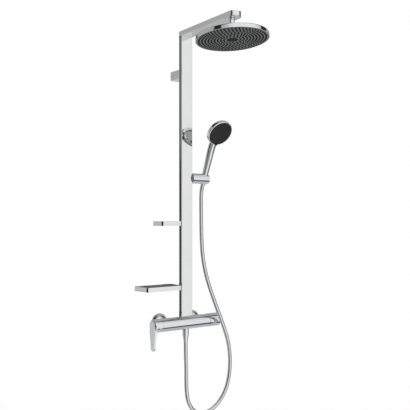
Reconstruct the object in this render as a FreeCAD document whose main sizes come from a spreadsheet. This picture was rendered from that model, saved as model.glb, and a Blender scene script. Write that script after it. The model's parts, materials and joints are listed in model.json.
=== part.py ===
"""Wall shower system: mixer bar with a side lever, rail, shelves, handset and overhead spray.

Millimetres. X runs right along the wall, Y runs into the wall and Z up. The origin lies on the
wall, behind the middle of the mixer, so the wall is the plane Y = 0 and the object is at Y < 0.
"""
import FreeCAD
import Part
import Sketcher
import math
import os

SIZES = {
    # fits and cuts that every group shares
    "fit_gap": 0.1,
    "free_gap": 0.3,
    "overrun": 1,
    "bore_clearance": 0.05,
    # places on the wall
    "reach": 69,
    "inlet_spacing": 150,
    # mixer bar
    "mixer_radius": 24.5,
    "mixer_left_length": 113,
    "mixer_right_length": 100,
    "mixer_boss_radius": 15,
    "mixer_boss_end": 27,
    "waterway_radius": 8,
    "port_radius": 6.1,
    "outlet_boss_radius": 12.5,
    "outlet_boss_drop": 0.7,
    # cartridge and lever
    "cartridge_radius": 17.9,
    "cartridge_length": 25,
    "cartridge_depth": 33,
    "cartridge_nut_radius": 20.4,
    "cartridge_nut_length": 4.8,
    "cartridge_pocket_depth": 9,
    "rotor_radius": 11.9,
    "rotor_depth": 14.7,
    "pivot_depth": 3,
    "dome_radius": 30,
    "dome_opening_radius": 14.5,
    "dome_wall": 2,
    "stem_width": 8,
    "stem_tail": 6,
    "stem_seat": 34.5,
    "pin_radius": 1.5,
    "pin_length": 18,
    "slot_half_height": 7,
    "slot_depth": 8,
    "lever_gap": 0.4,
    "lever_reach": 37,
    "lever_edge_radius": 8,
    "lever_hub_back": 15,
    "paddle_thickness": 8,
    "paddle_length": 91,
    "paddle_top_half": 16.5,
    "paddle_wide_half": 19,
    "paddle_wide_drop": 20,
    "paddle_narrow_half": 12,
    "paddle_narrow_drop": 65,
    "paddle_tip_radius": 11,
    "paddle_fillet": 8.5,
    "grub_radius": 2,
    "grub_length": 6,
    # diverter
    "diverter_radius": 15.9,
    "diverter_length": 32,
    "diverter_depth": 40,
    "diverter_nut_length": 7,
    "diverter_nut_bore": 5,
    "spindle_radius": 4,
    "spindle_inner_end": 16,
    "spindle_outer_end": 30,
    "knob_radius": 25.25,
    "knob_length": 50.3,
    "knob_wall": 3.5,
    "knob_edge": 1.5,
    "knob_boss_radius": 8,
    "knob_boss_start": 12,
    # wall connection
    "union_thread_radius": 10.48,
    "union_thread_length": 18,
    "union_body_radius": 13,
    "union_collar_radius": 14.9,
    "union_collar_front": 40,
    "union_collar_back": 33.2,
    "union_nut_flats": 36,
    "union_nut_back": 26,
    "filter_radius": 7.8,
    "filter_wall": 0.8,
    "filter_depth": 8,
    "washer_radius": 14.4,
    "rosette_radius": 33.5,
    "rosette_rim": 4,
    "rosette_round": 20,
    "rosette_wall": 1.5,
    # hose outlet
    "nipple_thread_radius": 8.9,
    "nipple_top": 12,
    "nipple_radius": 10.4,
    "nipple_bottom": 37,
    "nipple_bore": 4.5,
    # rail
    "rail_width": 48,
    "rail_depth": 20,
    "rail_corner": 1.2,
    "rail_bottom": 26.5,
    "rail_top": 1076,
    "rail_cavity_half_width": 15.5,
    "rail_cavity_half_depth": 8,
    "slot_mouth": 12,
    "slot_lip": 2.2,
    "slot_cavity": 15,
    "slot_cavity_depth": 4.5,
    "leg_inner": 8,
    "leg_length": 30,
    "riser_radius": 6,
    "riser_bore": 5,
    "riser_bottom": 10,
    "riser_collar_radius": 7.5,
    "riser_collar_height": 5.5,
    "screw_offset": 11.6,
    "screw_radius": 2.4,
    "screw_length": 15,
    "screw_head_radius": 4.2,
    "screw_head_height": 2.5,
    "foot_screw_rise": 15,
    "corner_screw_drop": 15,
    # arm
    "arm_height": 18,
    "arm_wall": 2.5,
    "arm_reach": 383,
    "underplate_thickness": 2,
    "bracket_plate_thickness": 3,
    "bracket_arm_length": 44,
    "bracket_arm_inner": 11,
    "elbow_half_width": 9,
    "elbow_bottom": 4.2,
    "elbow_front": 88,
    "arm_tube_radius": 5,
    "arm_tube_bore": 4,
    "arm_tube_rise": 9.7,
    "arm_tube_insert": 10,
    "outlet_inset": 37,
    "outlet_block_half": 12,
    # ball joint of the overhead spray
    "ball_drop": 36,
    "ball_radius": 9,
    "ball_bore": 3,
    "stud_neck_radius": 4.5,
    "stud_shaft_radius": 10.25,
    "stud_shoulder": 14,
    "stud_flange_radius": 12,
    "stud_flange_height": 2.1,
    "stud_thread_radius": 7,
    "stud_thread_length": 9.5,
    "ring_outer_radius": 10.6,
    "ring_top": 3.5,
    "ring_bottom": 1.5,
    "seal_top": 6.4,
    "seal_bottom": 8.5,
    "socket_radius": 10.9,
    "ball_nut_radius": 15,
    "ball_nut_top": 7.2,
    "ball_nut_bottom": 16,
    # overhead spray
    "head_tilt": -4.4,
    "head_roll": -1.2,
    "head_radius": 127,
    "head_face_drop": 37.3,
    "head_rim": 10,
    "head_edge_radius": 5,
    "head_crown_drop": 17.5,
    "head_crown_radius": 22,
    "head_wall": 2.2,
    "hub_radius": 12,
    "hub_top": 9.2,
    "hub_pocket_depth": 2.8,
    "spray_plate_recess": 0.5,
    "spray_plate_thickness": 3,
    "nozzle_base_radius": 2.2,
    "nozzle_tip_radius": 1.3,
    "nozzle_stand": 1.2,
    "nozzle_mat_thickness": 1.2,
    "nozzle_ring_step": 24,
    "head_seal_width": 3,
    # wall bracket of the rail
    "bracket_height": 935.5,
    "bracket_half_width": 23,
    "bracket_half_height": 16.5,
    "bracket_wall": 2.2,
    "base_thickness": 6,
    "base_hole_offset": 14.5,
    "base_hole_radius": 2.75,
    "post_half": 9,
    "post_length": 40,
    "socket_half": 6.2,
    "tongue_half": 6,
    "tongue_length": 43,
    "tongue_plate_thickness": 4,
    "tongue_plate_half_width": 17.5,
    "tongue_plate_half_height": 12,
    "bracket_grub_radius": 2.5,
    "bracket_grub_place": 30,
    # slider and handset holder
    "holder_height": 544.5,
    "shoe_half_length": 20,
    "shoe_clearance": 0.3,
    "pivot_flange_radius": 15,
    "pivot_flange_thickness": 2.7,
    "pivot_radius": 7,
    "pivot_length": 31,
    "pivot_stud_radius": 2.3,
    "barrel_radius": 19.6,
    "barrel_length": 76.5,
    "seat_place": 62,
    "seat_top_radius": 11.9,
    "seat_taper_share": 0.04,
    "fork_width": 16,
    # handset
    "handset_lean": 22.6,
    "handset_face_up": 189.6,
    "handset_face_out": 33.1,
    "handset_face_dip": 38,
    "handset_radius": 50,
    "handset_rim": 15,
    "handset_depth": 30,
    "handset_wall": 2.5,
    "handset_edge": 1.5,
    "handset_disc_depth": 6,
    "handset_disc_seat": 2.6,
    "handset_opening_radius": 46.7,
    "selector_width": 6.2,
    "selector_recess": 0.2,
    "selector_tab_half": 3.5,
    "selector_tab_reach": 5,
    "selector_tab_height": 3.5,
    "handle_bottom": 16,
    "handle_bottom_radius": 11.3,
    "handle_grip_radius": 13.8,
    "handle_top_radius": 14,
    "handle_bore_radius": 5.5,
    "hose_nut_drop": 22,
    "inlet_radius": 8.4,
    "inlet_bore": 4,
    "inlet_length": 28,
    "inlet_engagement": 14,
    "jet_radius": 1.6,
    "jet_height": 1.2,
    "jet_ring_step": 12,
    # hose
    "hose_radius": 7.3,
    "mixer_nut_top_radius": 12,
    "mixer_nut_grip": 18,
    "mixer_nut_bottom": 73,
    # shelves
    "shelf_front": 88,
    "shelf_gap": 2,
    "shelf_wall": 2.5,
    "shelf_corner": 10,
    "insert_thickness": 3,
    "insert_drop": 1.5,
    "insert_ledge": 2,
    "upper_shelf_bottom": 365,
    "upper_shelf_height": 17,
    "upper_shelf_end": 115,
    "upper_shelf_slant": 3,
    "upper_shelf_back": 22,
    "lower_shelf_bottom": 126.5,
    "lower_shelf_height": 16.5,
    "lower_shelf_end": 179,
    "lower_shelf_slant": 9,
    "lower_shelf_back": 6,
    "shelf_screw_radius": 2,
    "shelf_screw_head": 3.8,
}

# rings of nozzles on the overhead spray, from the middle outwards, and of jets on the handset
NOZZLES_PER_RING = (8, 16, 24, 30)
JETS_PER_RING = (6, 12, 18)

# Route of the hose, chosen by hand: from the handset's nut down past the mixer, round the loop
# and up to the mixer's outlet. The first two points and the last two follow the two nuts.
HOSE_ROUTE = (
    (85, -50, 440), (83.5, -54, 336), (82, -64, 244), (90, -82, 160), (111, -102, 74),
    (143, -115, -15), (169, -118, -90), (181, -112, -168), (179, -103, -238), (164, -94, -291),
    (129, -87, -335), (76, -86, -353), (24, -90, -337), (-6, -91, -293), (-8, -84, -238),
    (-1, -74, -172),
)
HOSE_EXIT_RUN = 30
HOSE_INLET_RUN = 39
ARC_SHARE = 0.45


class Size:
    """A length, an angle or a share: its formula over the sheet's cells, and its number."""

    def __init__(self, formula, number):
        self.formula = formula
        self.number = number

    def __add__(self, other):
        other = as_size(other)
        return Size(f"({self.formula} + {other.formula})", self.number + other.number)

    __radd__ = __add__

    def __neg__(self):
        return Size(f"(0 - {self.formula})", -self.number)

    def __sub__(self, other):
        other = as_size(other)
        return Size(f"({self.formula} - {other.formula})", self.number - other.number)

    def __rsub__(self, other):
        return as_size(other) - self

    def __mul__(self, other):
        other = as_size(other)
        return Size(f"({self.formula} * {other.formula})", self.number * other.number)

    __rmul__ = __mul__

    def __truediv__(self, other):
        other = as_size(other)
        return Size(f"({self.formula} / {other.formula})", self.number / other.number)


def as_size(value):
    """A plain number as a Size, and a Size as it is."""
    if isinstance(value, Size):
        return value
    return Size(f"{value:.9g}", float(value))


def root(size):
    """Square root."""
    return Size(f"sqrt({size.formula})", math.sqrt(size.number))


def sine(angle):
    """Sine of an angle in degrees."""
    angle = as_size(angle)
    return Size(f"sin({angle.formula})", math.sin(math.radians(angle.number)))


def cosine(angle):
    """Cosine of an angle in degrees."""
    angle = as_size(angle)
    return Size(f"cos({angle.formula})", math.cos(math.radians(angle.number)))


def on_sphere(radius, distance):
    """Height at which a sphere about the origin is `distance` from its axis."""
    return root(radius * radius - distance * distance)


class Sheet:
    """The spreadsheet of driving sizes, and each of them as a Size attribute."""

    def __init__(self, table):
        self.cells = document.addObject("Spreadsheet::Sheet", "Sizes")
        for row, (alias, number) in enumerate(table.items(), 1):
            self.cells.set(f"A{row}", alias.replace("_", " "))
            self.cells.set(f"B{row}", str(number))
            self.cells.setAlias(f"B{row}", alias)
            setattr(self, alias, Size(f"Sizes.{alias}", float(number)))


document = FreeCAD.newDocument("ShowerSystem")
s = Sheet(SIZES)
nodes = {}

ALONG = {
    "+X": (("Y", 90),),
    "-X": (("Y", -90),),
    "+Y": (("X", -90),),
    "-Y": (("X", 90),),
    "+Z": (),
    "-Z": (("X", 180),),
}
AXES = {"X": "1; 0; 0", "Y": "0; 1; 0", "Z": "0; 0; 1"}


def bind(piece, field, size):
    """Ties a property of an object to a formula over the sheet."""
    piece.setExpression(field, as_size(size).formula)


def place(piece, at, turns=()):
    """Ties the placement: the point `at`, and turns about the frame's axes, outermost first."""
    x, y, z = (as_size(value).formula for value in at)
    rotation = "create(<<rotation>>; create(<<vector>>; 0; 0; 1); 0)"
    for axis, angle in turns:
        angle = as_size(angle).formula
        rotation += f" * create(<<rotation>>; create(<<vector>>; {AXES[axis]}); {angle})"
    piece.setExpression("Placement", f"create(<<placement>>; create(<<vector>>; {x}; {y}; {z}); {rotation})")


def keep(name, piece):
    """Registers a finished sub-part under its node's name."""
    piece.Label = name
    nodes[name] = piece
    return piece


def box(name, x, y, z):
    """Block between two limits along each axis."""
    piece = document.addObject("Part::Box", name)
    for field, (low, high) in (("Length", x), ("Width", y), ("Height", z)):
        bind(piece, field, as_size(high) - low)
    place(piece, (x[0], y[0], z[0]))
    return piece


def rod(name, along, at, radius, length):
    """Cylinder that starts at a point and runs along an axis or a list of turns."""
    piece = document.addObject("Part::Cylinder", name)
    bind(piece, "Radius", radius)
    bind(piece, "Height", length)
    place(piece, at, ALONG.get(along, along))
    return piece


def ball(name, at, radius):
    """Sphere about a point."""
    piece = document.addObject("Part::Sphere", name)
    bind(piece, "Radius", radius)
    place(piece, at)
    return piece


def hexagon(name, along, at, flats, length):
    """Six-sided bar by its width across the flats."""
    piece = document.addObject("Part::Prism", name)
    piece.Polygon = 6
    bind(piece, "Circumradius", flats / 2 / cosine(30))
    bind(piece, "Height", length)
    place(piece, at, ALONG[along])
    return piece


def join(name, pieces):
    """One solid, or one group of separate solids, from several."""
    piece = document.addObject("Part::MultiFuse", name)
    piece.Shapes = list(pieces)
    return piece


def cut(name, base, *tools):
    """The base less its tools."""
    piece = document.addObject("Part::Cut", name)
    piece.Base = base
    piece.Tool = tools[0] if len(tools) == 1 else join(name + "_tools", tools)
    return piece


def sketch_on(body, role):
    """Sketch on one of the body's own origin planes."""
    sketch = body.newObject("Sketcher::SketchObject", body.Name + "_sketch")
    plane = next(item for item in body.Origin.OriginFeatures if item.Role == role)
    sketch.AttachmentSupport = [(plane, "")]
    sketch.MapMode = "FlatFace"
    return sketch


def fix_point(sketch, geometry, end, x, y):
    """Ties one end, or the centre, of a sketch element to its two coordinates."""
    for kind, value, axis in (("DistanceX", x, -2), ("DistanceY", y, -1)):
        if as_size(value).number == 0:
            sketch.addConstraint(Sketcher.Constraint("PointOnObject", geometry, end, axis))
            continue
        number = as_size(value).number
        index = sketch.addConstraint(Sketcher.Constraint(kind, -1, 1, geometry, end, number))
        bind(sketch, f"Constraints[{index}]", value)


def arc_between(start, finish, radius, left):
    """Arc through two points, turning left or right, under half a circle."""
    middle = (start + finish) * 0.5
    chord = finish - start
    rise = math.sqrt(max(radius * radius - chord.Length * chord.Length / 4, 0))
    across = FreeCAD.Vector(-chord.y, chord.x, 0).normalize()
    centre = middle + across * (rise if left else -rise)
    first, last = (start, finish) if left else (finish, start)
    angles = [math.atan2(point.y - centre.y, point.x - centre.x) for point in (first, last)]
    circle = Part.Circle(centre, FreeCAD.Vector(0, 0, 1), radius)
    return Part.ArcOfCircle(circle, angles[0], angles[1])


def outline(sketch, points):
    """Closed outline. A point (x, y) ends a straight stretch, and one with a radius and a turn,
    "left" or "right", ends a round one."""
    first = sketch.GeometryCount
    places = [FreeCAD.Vector(as_size(p[0]).number, as_size(p[1]).number, 0) for p in points]
    ends = []
    for index, point in enumerate(points):
        start, finish = places[index - 1], places[index]
        if len(point) == 2:
            sketch.addGeometry(Part.LineSegment(start, finish), False)
            ends.append((1, 2))
        else:
            left = point[3] == "left"
            sketch.addGeometry(arc_between(start, finish, as_size(point[2]).number, left), False)
            ends.append((1, 2) if left else (2, 1))
    for index, point in enumerate(points):
        geometry = first + index
        following = (index + 1) % len(points)
        sketch.addConstraint(Sketcher.Constraint(
            "Coincident", geometry, ends[index][1], first + following, ends[following][0]))
        fix_point(sketch, geometry, ends[index][1], point[0], point[1])
    for index, point in enumerate(points):
        if len(point) == 4:
            radius = as_size(point[2]).number
            number = sketch.addConstraint(Sketcher.Constraint("Radius", first + index, radius))
            bind(sketch, f"Constraints[{number}]", point[2])


def turned(name, points, at, turns=()):
    """Body turned about its own Z from an outline of (radius, height) points."""
    body = document.addObject("PartDesign::Body", name)
    sketch = sketch_on(body, "XZ_Plane")
    outline(sketch, points)
    revolution = body.newObject("PartDesign::Revolution", name + "_turn")
    revolution.Profile = sketch
    revolution.ReferenceAxis = (sketch, ["V_Axis"])
    revolution.Angle = 360
    sketch.Visibility = False
    place(body, at, ALONG.get(turns, turns))
    return body


def tube(name, inner, outer, bottom, top, at, turns=()):
    """Turned sleeve of one bore and one outer radius."""
    points = ((inner, bottom), (outer, bottom), (outer, top), (inner, top))
    return turned(name, points, at, turns)


def prism(name, role, points, at, length, turns=()):
    """Body padded from an outline: XY runs up, XZ towards -Y and YZ towards +X."""
    body = document.addObject("PartDesign::Body", name)
    sketch = sketch_on(body, role)
    outline(sketch, points)
    pad = body.newObject("PartDesign::Pad", name + "_pad")
    pad.Profile = sketch
    bind(pad, "Length", length)
    sketch.Visibility = False
    place(body, at, turns)
    return body


def rounded(left, right, low, high, corner, slant=0):
    """Rectangle with round corners, anticlockwise; the left end may run further at the top."""
    far = left - slant
    return (
        (right - corner, low),
        (right, low + corner, corner, "left"),
        (right, high - corner),
        (right - corner, high, corner, "left"),
        (far + corner, high),
        (far, high - corner, corner, "left"),
        (left, low + corner),
        (left + corner, low, corner, "left"),
    )


def mixer():
    """The bar with its cartridge, lever, diverter, hose outlet and wall connections."""
    axis = -s.reach
    half = s.inlet_spacing / 2
    left = -s.mixer_left_length
    right = s.mixer_right_length
    length = s.mixer_left_length + s.mixer_right_length

    solid = [rod("bar", "+X", (left, axis, 0), s.mixer_radius, length)]
    bores = []
    for side in (-half, half):
        solid.append(rod("boss", "+Y", (side, axis, 0), s.mixer_boss_radius, s.mixer_boss_end))
        bores.append(rod("inlet_way", "+Y", (side, axis, 0), s.waterway_radius,
                         s.mixer_boss_end + s.overrun))
    drop = s.mixer_radius + s.outlet_boss_drop
    solid.append(rod("outlet_boss", "-Z", (0, axis, 0), s.outlet_boss_radius, drop))
    cartridge_bore = s.cartridge_radius + s.fit_gap
    nut_bore = s.cartridge_nut_radius + s.fit_gap
    diverter_bore = s.diverter_radius + s.fit_gap
    bores.append(rod("cartridge_bore", "+X", (left - s.overrun, axis, 0), cartridge_bore,
                     s.cartridge_depth + s.overrun))
    bores.append(rod("nut_bore", "+X", (left - s.overrun, axis, 0), nut_bore,
                     s.cartridge_pocket_depth + s.overrun))
    bores.append(rod("diverter_bore", "-X", (right + s.overrun, axis, 0), diverter_bore,
                     s.diverter_depth + s.overrun))
    bores.append(rod("main_way", "+X", (left + s.cartridge_depth / 2, axis, 0), s.waterway_radius,
                     length - s.cartridge_depth / 2 - s.diverter_depth / 2))
    bores.append(rod("riser_port", "+Z", (0, axis, 0), s.port_radius, s.mixer_radius + s.overrun))
    bores.append(rod("outlet_port", "-Z", (0, axis, 0), s.nipple_thread_radius + s.fit_gap,
                     drop + s.overrun))
    keep("mixer_body", cut("mixer_body", join("mixer_casting", solid), *bores))

    # The lever's pivot is the origin of this frame, with Z outwards along the bar.
    pivot = (left + s.pivot_depth, axis, 0)
    face = s.pivot_depth
    seat = face - s.cartridge_depth
    top = seat + s.cartridge_length
    rotor_bore = s.rotor_radius + s.bore_clearance
    keep("cartridge", turned("cartridge", (
        (0, seat), (s.cartridge_radius, seat), (s.cartridge_radius, top), (rotor_bore, top),
        (rotor_bore, face - s.rotor_depth - s.fit_gap), (0, face - s.rotor_depth - s.fit_gap),
    ), pivot, "-X"))
    nut_start = top
    keep("cartridge_nut", tube("cartridge_nut", s.rotor_radius + s.lever_gap, s.cartridge_nut_radius,
                               nut_start, nut_start + s.cartridge_nut_length, pivot, "-X"))
    rotor = rod("rotor_blank", "-X", (left + s.rotor_depth, axis, 0), s.rotor_radius, s.rotor_depth)
    slot = box("rotor_slot", (pivot[0] - s.pivot_depth - s.overrun, pivot[0] + s.slot_depth),
               (axis - s.stem_width / 2 - s.fit_gap, axis + s.stem_width / 2 + s.fit_gap),
               (-s.slot_half_height, s.slot_half_height))
    pin_start = axis - s.pin_length / 2
    pin_way = rod("pin_way", "+Y", (pivot[0], pin_start - s.fit_gap, 0), s.pin_radius + s.bore_clearance,
                  s.pin_length + 2 * s.fit_gap)
    keep("cartridge_rotor", cut("cartridge_rotor", rotor, slot, pin_way))
    shoulder = on_sphere(s.dome_radius, s.mixer_radius)
    inner = s.dome_radius - s.dome_wall
    sleeve = s.mixer_radius - s.dome_wall
    spigot = nut_start + s.cartridge_nut_length + s.fit_gap
    spigot_bore = s.cartridge_nut_radius - s.dome_wall
    keep("cartridge_cover", turned("cartridge_cover", (
        (s.cartridge_nut_radius, spigot), (s.cartridge_nut_radius, face), (s.mixer_radius, face),
        (s.mixer_radius, shoulder),
        (s.dome_opening_radius, on_sphere(s.dome_radius, s.dome_opening_radius), s.dome_radius, "left"),
        (s.dome_opening_radius, on_sphere(inner, s.dome_opening_radius)),
        (sleeve, on_sphere(inner, sleeve), inner, "right"),
        (sleeve, face + s.dome_wall), (spigot_bore, face + s.dome_wall), (spigot_bore, spigot),
    ), pivot, "-X"))

    half_stem = s.stem_width / 2
    bar = box("stem_bar", (pivot[0] - s.stem_seat, pivot[0] + s.stem_tail),
              (axis - half_stem, axis + half_stem), (-half_stem, half_stem))
    pin = rod("stem_pin", "+Y", (pivot[0], pin_start, 0), s.pin_radius, s.pin_length)
    keep("cartridge_stem", join("cartridge_stem", (bar, pin)))
    lever(pivot, axis)
    diverter(right, axis)

    keep("hose_outlet", turned("hose_outlet", (
        (s.nipple_bore, s.nipple_top), (s.nipple_thread_radius, s.nipple_top),
        (s.nipple_thread_radius, drop + s.fit_gap), (s.nipple_radius, drop + s.fit_gap),
        (s.nipple_radius, s.nipple_bottom), (s.nipple_bore, s.nipple_bottom),
    ), (0, axis, 0), "-Z"))
    wall_connections(axis, half)


def lever(pivot, axis):
    """Hub and paddle as one casting, dished round the cover's dome, with its grub screw."""
    rim = s.mixer_radius
    reach = s.lever_reach
    edge = s.lever_edge_radius
    hub = turned("lever_hub", (
        (0, s.lever_hub_back), (rim, s.lever_hub_back), (rim, reach - edge),
        (rim - edge, reach, edge, "left"), (0, reach),
    ), pivot, "-X")
    outer = pivot[0] - reach
    tip = s.paddle_tip_radius
    tip_centre = -(s.paddle_length - tip)
    right_side = (
        (s.paddle_top_half, edge), (s.paddle_wide_half, -s.paddle_wide_drop),
        (s.paddle_narrow_half, -s.paddle_narrow_drop), (tip, tip_centre),
    )
    points = [(-right_side[0][0], right_side[0][1])]
    points += [(-y, z) for y, z in right_side[1:]]
    points += [(0, -s.paddle_length, tip, "left"), (tip, tip_centre, tip, "left")]
    points += list(reversed(right_side[:3]))
    paddle = prism("lever_paddle", "YZ_Plane", points, (outer, axis, 0), s.paddle_thickness)
    back = outer + s.paddle_thickness
    round_over = s.paddle_fillet
    gusset = prism("lever_gusset", "XZ_Plane", (
        (0, -rim + round_over), (round_over, -rim + round_over), (round_over, -rim),
        (0, -rim - round_over, round_over, "left"),
    ), (back, axis + s.paddle_top_half, 0), 2 * s.paddle_top_half)
    dish = ball("lever_dish", pivot, s.dome_radius + s.lever_gap)
    play = s.stem_width / 2 + s.fit_gap
    socket = box("stem_socket", (pivot[0] - s.stem_seat - s.fit_gap, pivot[0]),
                 (axis - play, axis + play), (-play, play))
    grub_x = outer + s.paddle_thickness / 2
    way = rod("grub_way", "+Y", (grub_x, axis, 0), s.grub_radius + s.fit_gap, rim + s.overrun)
    casting = join("lever_casting", (hub, paddle, gusset))
    keep("lever_handle", cut("lever_handle", casting, dish, socket, way))
    start = axis + s.stem_width / 2
    keep("lever_grub_screw", rod("lever_grub_screw", "+Y", (grub_x, start, 0), s.grub_radius,
                                 s.grub_length))


def diverter(right, axis):
    """Ceramic diverter, its lock nut and spindle, and the knob."""
    origin = (right, axis, 0)
    start = -s.diverter_depth
    end = start + s.diverter_length
    spindle_bore = s.spindle_radius + s.bore_clearance
    keep("diverter_cartridge", turned("diverter_cartridge", (
        (0, start), (s.diverter_radius, start), (s.diverter_radius, end), (spindle_bore, end),
        (spindle_bore, -s.spindle_inner_end - s.fit_gap), (0, -s.spindle_inner_end - s.fit_gap),
    ), origin, "+X"))
    keep("diverter_nut", tube("diverter_nut", s.diverter_nut_bore, s.diverter_radius, end,
                              end + s.diverter_nut_length, origin, "+X"))
    keep("diverter_spindle", rod("diverter_spindle", "+X", (right - s.spindle_inner_end, axis, 0),
                                 s.spindle_radius, s.spindle_inner_end + s.spindle_outer_end))
    face = s.free_gap + s.knob_length
    inner = s.knob_radius - s.knob_wall
    roof = face - s.knob_wall
    edge = s.knob_edge
    boss_bore = s.spindle_radius + s.fit_gap
    blind = s.spindle_outer_end + s.fit_gap
    keep("diverter_knob", turned("diverter_knob", (
        (inner, s.free_gap), (s.knob_radius, s.free_gap), (s.knob_radius, face - edge),
        (s.knob_radius - edge, face), (0, face), (0, blind), (boss_bore, blind),
        (boss_bore, s.knob_boss_start), (s.knob_boss_radius, s.knob_boss_start),
        (s.knob_boss_radius, roof), (inner, roof),
    ), origin, "+X"))


def wall_connections(axis, half):
    """Threaded unions, their nuts, rosettes and the washers with strainers."""
    nut_front = s.reach - s.mixer_radius - s.free_gap
    nuts = []
    filters = []
    for name, side in (("left", -half), ("right", half)):
        wall = (side, 0, 0)
        keep(f"wall_union_{name}", turned(f"wall_union_{name}", (
            (s.waterway_radius, -s.union_thread_length), (s.union_thread_radius, -s.union_thread_length),
            (s.union_thread_radius, 0), (s.union_body_radius, 0), (s.union_body_radius, s.union_collar_back),
            (s.union_collar_radius, s.union_collar_back), (s.union_collar_radius, s.union_collar_front),
            (s.waterway_radius, s.union_collar_front),
        ), wall, "-Y"))
        rim = s.rosette_rim
        dome = s.rosette_radius - s.rosette_round
        inner = rim + s.rosette_round - s.rosette_wall
        keep(f"rosette_{name}", turned(f"rosette_{name}", (
            (s.rosette_radius - s.rosette_wall, 0), (s.rosette_radius, 0), (s.rosette_radius, rim),
            (dome, rim + s.rosette_round, s.rosette_round, "left"), (dome, inner),
            (s.rosette_radius - s.rosette_wall, rim),
        ), wall, "-Y"))
        blank = hexagon("nut_blank", "-Y", (side, -s.union_nut_back, 0), s.union_nut_flats,
                        nut_front - s.union_nut_back)
        neck = rod("nut_neck", "-Y", (side, -s.union_nut_back + s.overrun, 0),
                   s.union_body_radius + s.free_gap, nut_front)
        collar_back = s.union_collar_back - s.fit_gap
        thread = rod("nut_thread", "-Y", (side, -collar_back, 0), s.mixer_boss_radius + s.fit_gap,
                     nut_front - collar_back + s.overrun)
        nuts.append(cut("union_nut", blank, neck, thread))
        front = s.reach - s.mixer_boss_end
        filters.append(turned("filter_washer", (
            (s.filter_radius - s.filter_wall, front), (s.washer_radius, front),
            (s.washer_radius, s.union_collar_front), (s.filter_radius, s.union_collar_front),
            (s.filter_radius, s.union_collar_front - s.filter_depth),
            (0, s.union_collar_front - s.filter_depth),
            (0, s.union_collar_front - s.filter_depth + s.filter_wall),
            (s.filter_radius - s.filter_wall, s.union_collar_front - s.filter_depth + s.filter_wall),
        ), wall, "-Y"))
    keep("union_nuts", join("union_nuts", nuts))
    keep("filter_washers", join("filter_washers", filters))


def rail_outline():
    """Section of the rail, anticlockwise, with a T-slot in each narrow side."""
    wide = s.rail_width / 2
    deep = s.rail_depth / 2
    corner = s.rail_corner
    mouth = s.slot_mouth / 2
    cavity = s.slot_cavity / 2
    lip = wide - s.slot_lip
    floor = lip - s.slot_cavity_depth
    return (
        (wide - corner, -deep), (wide, -deep + corner, corner, "left"),
        (wide, -mouth), (lip, -mouth), (lip, -cavity), (floor, -cavity), (floor, cavity),
        (lip, cavity), (lip, mouth), (wide, mouth), (wide, deep - corner),
        (wide - corner, deep, corner, "left"), (-wide + corner, deep),
        (-wide, deep - corner, corner, "left"), (-wide, mouth), (-lip, mouth), (-lip, cavity),
        (-floor, cavity), (-floor, -cavity), (-lip, -cavity), (-lip, -mouth), (-wide, -mouth),
        (-wide, -deep + corner), (-wide + corner, -deep, corner, "left"),
    )


def screw(x, seat, z):
    """Flat-headed screw that goes forwards from its seat."""
    head = rod("screw_head", "+Y", (x, seat, z), s.screw_head_radius, s.screw_head_height)
    shank = rod("screw_shank", "-Y", (x, seat + s.screw_head_height / 2, z), s.screw_radius,
                s.screw_length + s.screw_head_height / 2)
    return join("screw", (head, shank))


def leg_pair(name, bottom, top):
    """Two blocks that fill the sides of the rail's cavity and leave the middle to the tube."""
    axis = -s.reach
    outer = s.rail_cavity_half_width - s.free_gap
    deep = s.rail_cavity_half_depth - s.free_gap
    return [box(name, (low, high), (axis - deep, axis + deep), (bottom, top))
            for low, high in ((-outer, -s.leg_inner), (s.leg_inner, outer))]


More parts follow.
